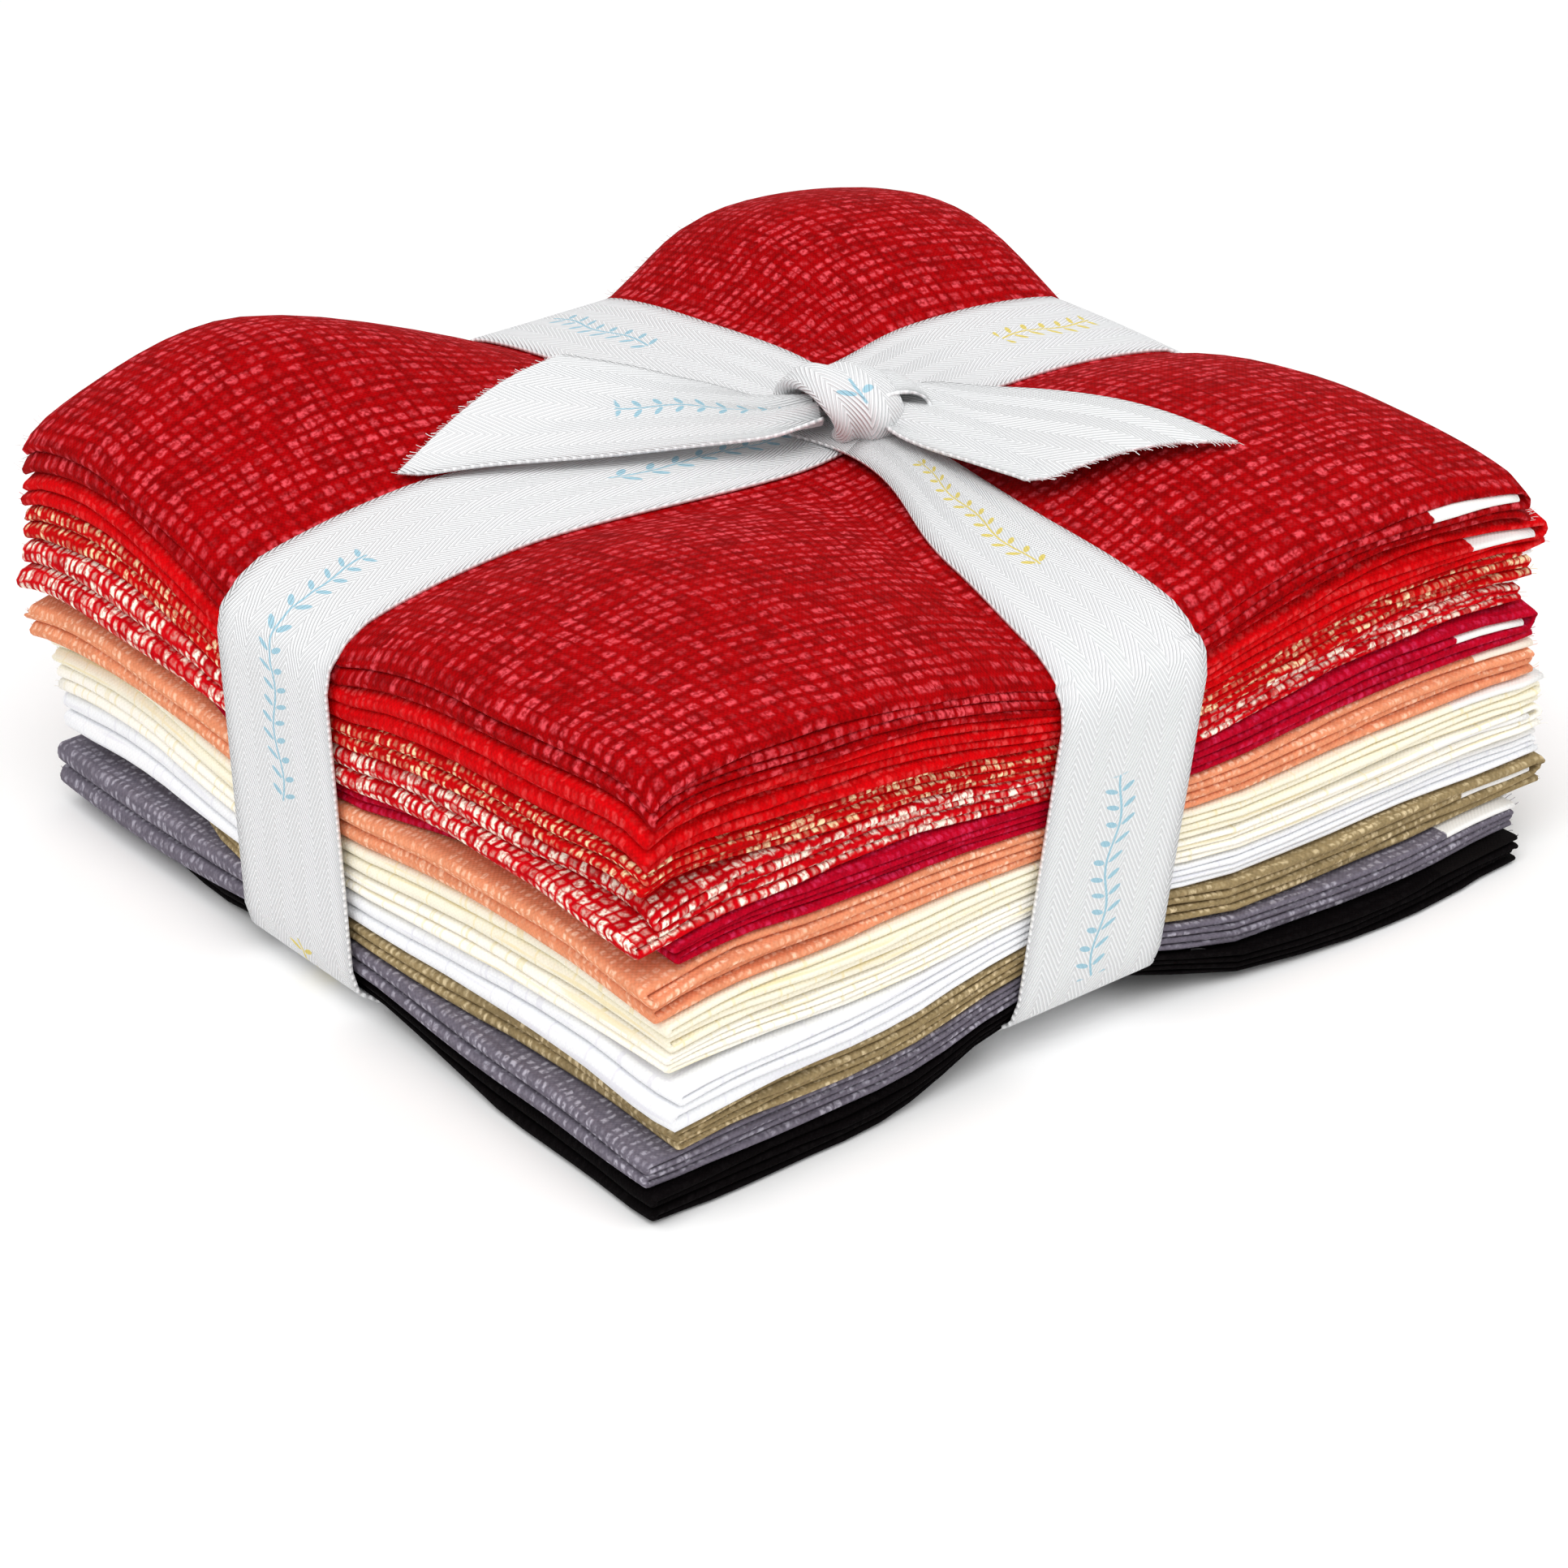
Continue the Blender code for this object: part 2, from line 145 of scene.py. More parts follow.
@dataclass(frozen=True)
class Ripple:
    """A gentle, repeatable unevenness: a few waves that run in different directions."""

    seed: int
    shortest: float
    longest: float
    waves: int = 5

    def __call__(self, *places: np.ndarray) -> np.ndarray:
        """Read the unevenness.

        Args:
            places: Where to read it, as one array for each direction.

        Returns:
            The unevenness there, about -1 to 1.
        """
        draw = np.random.default_rng(self.seed)
        total = np.zeros_like(np.asarray(places[0], float))
        for _ in range(self.waves):
            heading = draw.normal(size=len(places))
            heading /= np.linalg.norm(heading)
            length = draw.uniform(self.shortest, self.longest)
            phase = draw.uniform(0, 2 * math.pi)
            along = sum(part * place for part, place in zip(heading, places))
            total = total + np.sin(2 * math.pi * along / length + phase)
        return total / self.waves ** 0.5 / 1.3


@dataclass(frozen=True)
class Crown:
    """A quarter of the top that is puffed up above the dome."""

    x: float
    y: float
    spread: float
    height: float


@dataclass(frozen=True)
class Swell:
    """A place near the rim where one cloth is puffed up, or where a gap opens under it."""

    cloth: int
    x: float
    y: float
    spread: float
    room: float
    gap: float


@dataclass(frozen=True)
class Girth:
    """How thick a cloth lies at three corners of the stack, as a share of its even thickness."""

    near: float
    left: float
    right: float


@dataclass(frozen=True)
class TiedStack:
    """The form of the whole stack: where a point of the straight stack goes when it is tied."""

    half_x: float = 70.0
    half_y: float = 65.0
    height: float = 52.0
    cloths: int = 12
    cloth_gap: float = 0.36
    # stops along and across; each strand lies between the middle two
    columns: tuple[float, ...] = (-70.0, -42.0, -10.5, 12.5, 42.0, 70.0)
    rows: tuple[float, ...] = (-65.0, -40.0, -4.5, 18.5, 43.0, 65.0)
    # how far each strand strays sideways at those stops
    strand_y_lean_top: tuple[float, ...] = (0.6, 2.5, 8.0, 8.5, 7.5, 7.5)
    strand_y_lean_under: tuple[float, ...] = (-6.5, -6.0, -5.0, -4.0, -2.0, 0.0)
    strand_x_lean_top: tuple[float, ...] = (1.0, 1.3, -6.5, -1.5, 1.0, 0.0)
    strand_x_lean_under: tuple[float, ...] = (-2.0, -2.5, -4.0, -4.0, -3.0, -2.0)
    # the top: a dome, bulging edges, the dip under the tie and what puffs up beside it
    dome_height: float = 5.0
    dome_shape: float = 4.0
    edge_bulge: float = 3.0
    bulge_shape: float = 8.0
    top_dip: float = 2.9
    under_dip: tuple[float, float] = (3.8, 1.3)
    under_reach: tuple[float, float] = (30.0, 12.0)
    reach: tuple[float, float] = (34.0, 34.0)
    pillow: float = 2.3
    pinch: float = 0.85
    # radii of the long edges
    free_round: float = 2.2
    under_round: float = 0.6
    tied_round: float = 5.0
    round_reach: float = 30.0
    both_dips: float = 0.3
    crowns: tuple[Crown, ...] = (
        Crown(-44.0, 56.0, 25.0, 8.0), Crown(46.0, 43.0, 30.0, 4.6), Crown(-36.0, -34.0, 26.0, 0.8),
        Crown(44.0, -36.0, 22.0, 0.8), Crown(-70.0, -65.0, 19.0, 3.2),
    )
    swells: tuple[Swell, ...] = (
        Swell(3, -70.0, -60.0, 9.0, -0.3, 3.4), Swell(1, 30.0, -65.0, 26.0, 0.0, 1.7),
        Swell(5, -70.0, -65.0, 8.0, 0.0, 0.7), Swell(9, -70.0, -65.0, 15.0, 2.4, 0.2),
        Swell(10, -70.0, -65.0, 15.0, -1.3, 0.0), Swell(8, -70.0, -62.0, 8.0, -0.4, 1.1),
        Swell(1, 66.0, -65.0, 18.0, 0.0, 0.7), Swell(4, 70.0, -65.0, 16.0, 0.0, 0.5),
        Swell(8, 70.0, -65.0, 18.0, 0.0, 0.5), Swell(1, -70.0, 14.0, 26.0, 0.0, 0.7),
        Swell(9, -70.0, 52.0, 20.0, 0.0, 0.5), Swell(2, 40.0, 65.0, 24.0, 0.0, 0.4),
        Swell(7, -40.0, 65.0, 20.0, 0.0, 0.4), Swell(2, -45.0, -65.0, 22.0, 0.0, 0.6),
    )
    girths: tuple[Girth, ...] = (
        Girth(0.95, 1.35, 1.05), Girth(1.45, 0.90, 1.00), Girth(0.85, 1.15, 0.95),
        Girth(1.15, 1.70, 0.80), Girth(0.75, 0.40, 1.20), Girth(1.20, 1.30, 1.20),
        Girth(1.10, 1.10, 1.00), Girth(0.80, 0.90, 0.85), Girth(1.20, 1.20, 0.85),
        Girth(0.95, 0.45, 1.20), Girth(0.90, 1.60, 1.00), Girth(1.10, 0.55, 0.90),
    )
    right_rise: float = 1.8
    right_rise_from: Onset = Onset(25.0, 45.0)
    right_rise_middle: float = 12.0
    right_rise_spread: float = 34.0
    room_unevenness: float = 0.08
    unevenness: float = 0.3
    calm_under_tie: float = 0.7
    corrections: int = 14
    top_ripple: Ripple = Ripple(seed=4, shortest=24.0, longest=52.0)

    def beside_strand(self, value: np.ndarray, stops: tuple[float, ...],
                      reach: tuple[float, float]) -> np.ndarray:
        """Tell how much of a strand's pull is felt beside it, where the cloth puffs up.

        Args:
            value: Places across the strand.
            stops: The stack's stops in that direction. The strand lies between the middle two.
            reach: How far the pull is felt before and after the strand.

        Returns:
            The share of the pull, which is 1 under the strand.
        """
        before, after = (stops[2] - value) / reach[0], (value - stops[3]) / reach[1]
        outside = np.maximum(np.maximum(before, after), 0.0)
        return np.clip(1.0 - outside, 0.0, 1.0) ** self.pillow

    @property
    def even_room(self) -> float:
        """The thickness of a cloth in a stack where all are alike."""
        return self.height / self.cloths - self.cloth_gap

    def pull(self, x: np.ndarray, y: np.ndarray) -> np.ndarray:
        """Return how much of the tie's pull is felt, 0 to 1."""
        free = (1.0 - self.beside_strand(x, self.columns, self.reach),
                1.0 - self.beside_strand(y, self.rows, self.reach))
        return 1.0 - free[0] * free[1]

    def top_height(self, x: np.ndarray, y: np.ndarray) -> np.ndarray:
        """Find the height of the top of the tied stack.

        Args:
            x: Places along the stack.
            y: Places across it.

        Returns:
            The height at every place.
        """
        across = np.minimum(np.abs(x) / self.half_x, 1.0)
        along = np.minimum(np.abs(y) / self.half_y, 1.0)
        pull = self.pull(x, y)
        dome = self.dome_height * (1 - across ** self.dome_shape) * (1 - along ** self.dome_shape)
        bulge = self.edge_bulge * (1 - pull) * (1 - (across * along) ** self.bulge_shape)
        crown = sum(one.height * mound(x, y, (one.x, one.y), one.spread) for one in self.crowns)
        uneven = self.unevenness * self.top_ripple(x, y) * (1 - self.calm_under_tie * pull)
        rise = (self.right_rise * self.right_rise_from(x)
                * bell(y - self.right_rise_middle, self.right_rise_spread))
        return self.height + dome + bulge + crown * (1 - pull) - self.top_dip * pull + uneven + rise

    @staticmethod
    def falls_away(inward: np.ndarray, radius: np.ndarray) -> np.ndarray:
        """Return how far a rounded edge falls away at a distance inward from it."""
        share = np.clip(1 - inward / radius, 0.0, 1.0)
        return radius * (1 - np.cos(share * math.pi / 4))

    def round_edges(self, places: np.ndarray) -> np.ndarray:
        """Round the long edges of the stack, most of all where the tie pulls on them.

        Args:
            places: Points of the straight stack, as rows of x, y and z.

        Returns:
            The points moved inward and towards the middle of its height.
        """
        hat = (0.0, 0.0, 1.0, 1.0, 0.0, 0.0)
        moved = places.copy()
        level = np.clip(places[:, 2] / self.height, 0.0, 1.0)
        for axis, half, stops in ((0, self.half_x, self.rows), (1, self.half_y, self.columns)):
            tied = SmoothTable(stops, hat)(places[:, 1 - axis])
            near_edge = ease((np.abs(places[:, axis]) - half + self.round_reach) / self.round_reach)
            inward = np.maximum(half - np.abs(places[:, axis]), 0.0)
            for depth, share, towards, free in (
                    (self.height - places[:, 2], level, -1.0, self.free_round),
                    (places[:, 2], 1 - level, 1.0, self.under_round)):
                radius = free + (self.tied_round - free) * tied
                inset = self.falls_away(np.maximum(depth, 0.0), radius)
                moved[:, axis] -= np.sign(places[:, axis]) * inset * near_edge
                moved[:, 2] += towards * self.falls_away(inward, radius) * share ** 3
        return moved

    def press(self, flat: np.ndarray) -> np.ndarray:
        """Move points of the straight stack to their places in the tied one.

        Args:
            flat: Points as rows of x, y and z.

        Returns:
            The same number of points. Beyond the top or the underside a point keeps its distance.
        """
        level = np.clip(flat[:, 2] / self.height, 0.0, 1.0)
        x, y, z = self.round_edges(flat).T
        hat = (0.0, 1.0, 1.0, 0.0)
        lean_x = (SmoothTable(self.rows, self.strand_y_lean_top)(y) * level
                  + SmoothTable(self.rows, self.strand_y_lean_under)(y) * (1 - level))
        lean_y = (SmoothTable(self.columns, self.strand_x_lean_top)(x) * level
                  + SmoothTable(self.columns, self.strand_x_lean_under)(x) * (1 - level))
        lifts = (self.under_dip[0] * self.beside_strand(x, self.columns, self.under_reach),
                 self.under_dip[1] * self.beside_strand(y, self.rows, self.reach))
        under = np.maximum(*lifts) + self.both_dips * np.minimum(*lifts)
        top = self.top_height(x, y)
        height = under + (top - under) * level + z - level * self.height
        return np.stack([
            x + lean_x * SmoothTable(self.columns[1:-1], hat)(x),
            y + lean_y * SmoothTable(self.rows[1:-1], hat)(y),
            height,
        ], axis=1)

    def on_top(self, x: np.ndarray, y: np.ndarray, lift: np.ndarray) -> np.ndarray:
        """Find the points that lie over given places of the tied stack.

        Args:
            x: Places along the tied stack.
            y: Places across it.
            lift: Height above its top.

        Returns:
            The points, as rows. A few rounds of correction undo the sideways pull of the tie.
        """
        flat = np.stack([x, y, self.height + lift], axis=1)
        for _ in range(self.corrections):
            reached = self.press(flat)
            flat[:, 0] += x - reached[:, 0]
            flat[:, 1] += y - reached[:, 1]
        return self.press(flat)

    def layer(self, number: int, x: np.ndarray, y: np.ndarray) -> tuple[np.ndarray, np.ndarray]:
        """Find the room that one cloth has in the straight stack.

        Args:
            number: The cloth, counted from 1 at the top.
            x: Places along the stack.
            y: Places across it.

        Returns:
            The height of its underside and its thickness at every place.
        """
        lowest, total, mine = np.zeros_like(x), np.zeros_like(x), np.zeros_like(x)
        across, along = (np.clip(0.5 + place / 2 / half, 0.0, 1.0)
                         for place, half in ((x, self.half_x), (y, self.half_y)))
        for cloth in range(self.cloths, 0, -1):
            girth = self.girths[cloth - 1]
            share = ((1 - along) * (girth.near * (1 - across) + girth.right * across)
                     + along * (girth.left * (1 - across) + across))
            gap = np.full_like(x, self.cloth_gap if cloth != self.cloths else 0.0)
            uneven = Ripple(seed=ROOM_SEED + cloth, shortest=45.0, longest=110.0)(x, y)
            room = self.even_room * (share + self.room_unevenness * uneven)
            for swell in (one for one in self.swells if one.cloth == cloth):
                near = mound(x, y, (swell.x, swell.y), swell.spread)
                gap, room = gap + swell.gap * near, room + swell.room * near
            if cloth == number:
                lowest, mine = total + gap, room
            total = total + gap + room
        scale = self.height / total
        return lowest * scale, mine * scale


def mesh_object(name: str, places: np.ndarray, faces: np.ndarray,
                uvs: np.ndarray | None = None) -> bpy.types.Object:
    """Make a smooth-shaded mesh object from points in millimetres.

    Args:
        name: The piece's name.
        places: Points as rows of x, y and z.
        faces: Rows of three or four point numbers.
        uvs: Flat position of every point, in metres.

    Returns:
        The new object, linked to the scene.
    """
    mesh = bpy.data.meshes.new(name)
    mesh.from_pydata((places * MM).tolist(), [], faces.tolist())
    if uvs is not None:
        loops = np.zeros(len(mesh.loops), dtype=np.int32)
        mesh.loops.foreach_get("vertex_index", loops)
        layer = mesh.uv_layers.new(name="flat")
        layer.data.foreach_set("uv", uvs[loops].astype(np.float32).ravel())
    mesh.shade_smooth()
    mesh.update()
    made = bpy.data.objects.new(name, mesh)
    bpy.context.scene.collection.objects.link(made)
    return made


def grid_faces(rows: int, columns: int, flip: bool = False) -> np.ndarray:
    """Number the faces of a grid of points.

    Args:
        rows: Points in the first direction.
        columns: Points in the second direction, which runs fastest.
        flip: Whether the faces turn the other way.

    Returns:
        Rows of four point numbers.
    """
    first = np.arange(rows - 1)[:, None]
    side = np.arange(columns - 1)[None, :]
    after = first + 1
    corners = [first * columns + side, first * columns + side + 1,
               after * columns + side + 1, after * columns + side]
    shape = (len(first), columns - 1)
    faces = np.stack([np.broadcast_to(corner, shape).ravel() for corner in corners], 1)
    return faces[:, ::-1] if flip else faces


def give_thickness(piece: bpy.types.Object, thickness: float, wrong_side: int = 0) -> None:
    """Give a sheet its thickness, half on each side.

    Args:
        piece: The sheet.
        thickness: Its thickness in millimetres.
        wrong_side: How many material slots after the front's its back has.
    """
    wall = piece.modifiers.new("Thickness", 'SOLIDIFY')
    wall.thickness = thickness * MM
    wall.offset = 0.0
    wall.material_offset = wrong_side
    wall.material_offset_rim = wrong_side


def settle(piece: bpy.types.Object, node: str | None = None) -> None:
    """Say what a piece rides on, and hide the CAD node that it stands for.

    Args:
        piece: The piece.
        node: The CAD node, if there is one.
    """
    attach(piece, BODY)
    if node:
        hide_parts(node)


class NodeTree:
    """A node tree, with a short way to add to it."""

    def __init__(self, tree: bpy.types.NodeTree) -> None:
        """Take the tree over."""
        self.tree = tree

    def node(self, kind: str, links: dict | None = None, **settings: object) -> bpy.types.Node:
        """Add a node.

        Args:
            kind: The node's type.
            links: What goes into its inputs, by name or number: a socket or a constant.
            settings: Its properties.

        Returns:
            The node.
        """
        node = self.tree.nodes.new(kind)
        for name, value in settings.items():
            setattr(node, name, value)
        for name, value in (links or {}).items():
            self.feed(node.inputs[name], value)
        return node

    def feed(self, socket: bpy.types.NodeSocket, value: object) -> None:
        """Link a socket or set a constant."""
        if isinstance(value, bpy.types.NodeSocket):
            self.tree.links.new(value, socket)
        else:
            socket.default_value = value


class Weaver(NodeTree):
    """A material's node tree."""

    def __init__(self, name: str) -> None:
        """Start a material with its shader."""
        self.material = bpy.data.materials.new(name)
        self.material.use_nodes = True
        super().__init__(self.material.node_tree)
        self.shader = self.tree.nodes["Principled BSDF"]

    def colour(self, value: object) -> None:
        """Give the shader its colour."""
        self.feed(self.shader.inputs["Base Color"], value)

    def gloss(self, roughness: float, specular: float) -> None:
        """Set how the surface shines."""
        self.shader.inputs["Roughness"].default_value = roughness
        self.shader.inputs["Specular IOR Level"].default_value = specular

    def relief(self, height: object, strength: float, distance: float) -> None:
        """Give the surface a fine relief, whose depth is in metres."""
        bump = self.node("ShaderNodeBump",
                         {"Strength": strength, "Distance": distance, "Height": height})
        self.feed(self.shader.inputs["Normal"], bump.outputs[0])

    def flat_place(self) -> bpy.types.NodeSocket:
        """Return the flat position on the sheet in millimetres."""
        flat = self.node("ShaderNodeTexCoord").outputs["UV"]
        return self.vector('MULTIPLY', flat, (1 / MM, 1 / MM, 0.0))

    def tinted(self, colour: Colour, tone: bpy.types.NodeSocket) -> bpy.types.NodeSocket:
        """Return a colour made darker or lighter by a tone."""
        tones = self.node("ShaderNodeCombineXYZ", {axis: tone for axis in range(3)})
        return self.vector('MULTIPLY', colour, tones.outputs[0])

    def math(self, operation: str, *values: object) -> bpy.types.NodeSocket:
        """Return the result of a Math node."""
        return self.combine("ShaderNodeMath", operation, values)

    def vector(self, operation: str, *values: object) -> bpy.types.NodeSocket:
        """Return the result of a Vector Math node."""
        return self.combine("ShaderNodeVectorMath", operation, values)

    def combine(self, kind: str, operation: str, values: tuple) -> bpy.types.NodeSocket:
        """Return the result of a node that works on the given values in order."""
        return self.node(kind, dict(enumerate(values)), operation=operation).outputs[0]

    def parts(self, vector: bpy.types.NodeSocket) -> tuple:
        """Return the x, y and z of a vector."""
        return tuple(self.node("ShaderNodeSeparateXYZ", {0: vector}).outputs)

    def edge(self, value: object, zero: object, one: object, low: float = 0.0,
             high: float = 1.0) -> bpy.types.NodeSocket:
        """Take a smooth step.

        Args:
            value: What decides.
            zero: The value at which the result is low.
            one: The value at which it is high.
            low: The low result.
            high: The high result.

        Returns:
            The result.
        """
        node = self.node("ShaderNodeMapRange", {0: value, 1: zero, 2: one, 3: low, 4: high},
                         interpolation_type='SMOOTHSTEP')
        return node.outputs[0]

    def mix(self, share: object, first: object, second: object) -> bpy.types.NodeSocket:
        """Return the mix of two colours."""
        node = self.node("ShaderNodeMix", {0: share}, data_type='RGBA')
        for socket, value in ((node.inputs[6], first), (node.inputs[7], second)):
            self.feed(socket, (*value, 1.0) if isinstance(value, tuple) else value)
        return node.outputs[2]

    def noise(self, vector: object, scale: float, detail: float = 2.0) -> bpy.types.NodeSocket:
        """Return a noise value from 0 to 1."""
        links = {"Vector": vector, "Scale": scale, "Detail": detail}
        return self.node("ShaderNodeTexNoise", links).outputs[0]


class Frayer(NodeTree):
    """Makes the short loose threads that stand out of a cut edge, with Geometry Nodes."""

    thread_radius = 0.055
    shortest_share = 0.25
    bend = {"Resolution": 3, "Start": (0.0, 0.0, 0.0), "Middle": (0.0, 0.0, 0.6),
            "End": (0.14, 0.05, 1.0)}
    astray = (0.22, 0.22, 3.1)

    def __init__(self) -> None:
        """Build the Geometry Nodes tree once."""
        super().__init__(bpy.data.node_groups.new("frayed_threads", 'GeometryNodeTree'))
        face = self.tree.interface
        face.new_socket("Edge", in_out='INPUT', socket_type='NodeSocketGeometry')
        for name, kind in (("Spacing", 'NodeSocketFloat'), ("Length", 'NodeSocketFloat'),
                           ("Thickness", 'NodeSocketFloat'), ("Seed", 'NodeSocketInt'),
                           ("Thread", 'NodeSocketMaterial')):
            face.new_socket(name, in_out='INPUT', socket_type=kind)
        face.new_socket("Threads", in_out='OUTPUT', socket_type='NodeSocketGeometry')
        self.lay_out()

    def lay_out(self) -> None:
        """Connect the tree: points along the edge, and on each a bent thread with its material."""
        given = self.node("NodeGroupInput").outputs
        edge = self.node("GeometryNodeMeshToCurve", {0: given["Edge"]})
        points = self.node("GeometryNodeResampleCurve",
                           {"Curve": edge.outputs[0], "Length": given["Spacing"]}, mode='LENGTH')
        bend = self.node("GeometryNodeCurveQuadraticBezier", self.bend)
        scaled = self.node("ShaderNodeCombineXYZ", {axis: given["Length"] for axis in range(3)})
        long = self.node("GeometryNodeTransform",
                         {"Geometry": bend.outputs[0], "Scale": scaled.outputs[0]})
        ring = self.node("GeometryNodeCurvePrimitiveCircle",
                         {"Resolution": 3, "Radius": given["Thickness"]})
        thread = self.node("GeometryNodeCurveToMesh", {
            "Curve": long.outputs[0], "Profile Curve": ring.outputs[0], "Fill Caps": True})
        out = self.node("GeometryNodeInputNamedAttribute", {"Name": "out"},
                        data_type='FLOAT_VECTOR')
        facing = self.node("FunctionNodeAlignRotationToVector", {"Vector": out.outputs[0]},
                           axis='Z')
        astray = self.node("FunctionNodeRandomValue", {
            0: tuple(-part for part in self.astray), 1: self.astray, "Seed": given["Seed"]},
            data_type='FLOAT_VECTOR')
        turned = self.node("FunctionNodeRotateRotation",
                           {0: facing.outputs[0], 1: astray.outputs[0]}, rotation_space='LOCAL')
        sizes = self.node("FunctionNodeRandomValue", {
            2: self.shortest_share, 3: 1.0, "Seed": given["Seed"]}, data_type='FLOAT')
        placed = self.node("GeometryNodeInstanceOnPoints", {
            "Points": points.outputs[0], "Instance": thread.outputs[0],
            "Rotation": turned.outputs[0], "Scale": sizes.outputs[1]})
        real = self.node("GeometryNodeRealizeInstances", {0: placed.outputs[0]})
        dyed_thread = self.node("GeometryNodeSetMaterial", {
            "Geometry": real.outputs[0], "Material": given["Thread"]})
        self.node("NodeGroupOutput", {0: dyed_thread.outputs[0]})

    def fray(self, name: str, edges: list[tuple[np.ndarray, np.ndarray]],
             thread: bpy.types.Material, spacing: float, length: float,
             seed: int) -> bpy.types.Object:
        """Fray some edges.

        Args:
            name: The piece's name.
            edges: For every edge, its points and the direction out of the cloth at each, as rows.
            thread: The threads' material.
            spacing: Distance between threads in millimetres.
            length: Longest thread in millimetres.
            seed: For the threads' lengths and directions.

        Returns:
            The threads, as one plain mesh.
        """
        mesh = bpy.data.meshes.new(name + "_line")
        firsts = np.cumsum([0] + [len(points) for points, _ in edges])
        pairs = [(start + step, start + step + 1) for start, (points, _) in zip(firsts, edges)
                 for step in range(len(points) - 1)]
        mesh.from_pydata((np.concatenate([points for points, _ in edges]) * MM).tolist(), pairs, [])
        outs = np.concatenate([out for _, out in edges]).astype(np.float32)
        mesh.attributes.new("out", 'FLOAT_VECTOR', 'POINT').data.foreach_set("vector", outs.ravel())
        line = bpy.data.objects.new(name + "_line", mesh)
        bpy.context.scene.collection.objects.link(line)
        maker = line.modifiers.new("Threads", 'NODES')
        maker.node_group = self.tree
        sockets = {item.name: item.identifier for item in self.tree.interface.items_tree
                   if item.in_out == 'INPUT'}
        for key, value in (("Spacing", spacing * MM), ("Length", length * MM), ("Seed", seed),
                           ("Thickness", self.thread_radius * MM), ("Thread", thread)):
            maker[sockets[key]] = value
        depsgraph = bpy.context.evaluated_depsgraph_get()
        threads = bpy.data.meshes.new_from_object(line.evaluated_get(depsgraph))
        made = bpy.data.objects.new(name, threads)
        bpy.data.objects.remove(line, do_unlink=True)
        bpy.context.scene.collection.objects.link(made)
        return made


def thread_material(name: str, colour: Colour) -> bpy.types.Material:
    """Dress loose threads.

    Args:
        name: The material's name.
        colour: The threads' colour.

    Returns:
        Their material, a little uneven from thread to thread.
    """
    w = Weaver(name)
    place = w.node("ShaderNodeTexCoord").outputs["Object"]
    paler = tuple(0.75 * part + 0.2 for part in colour)
    w.colour(w.mix(w.noise(place, 900.0), colour, paler))
    w.shader.inputs["Roughness"].default_value = 0.9
    return w.material


class PrintKind(Enum):
    """How the flecks of a print are laid out."""

    DASHES = "dashes"
    LINES = "lines"


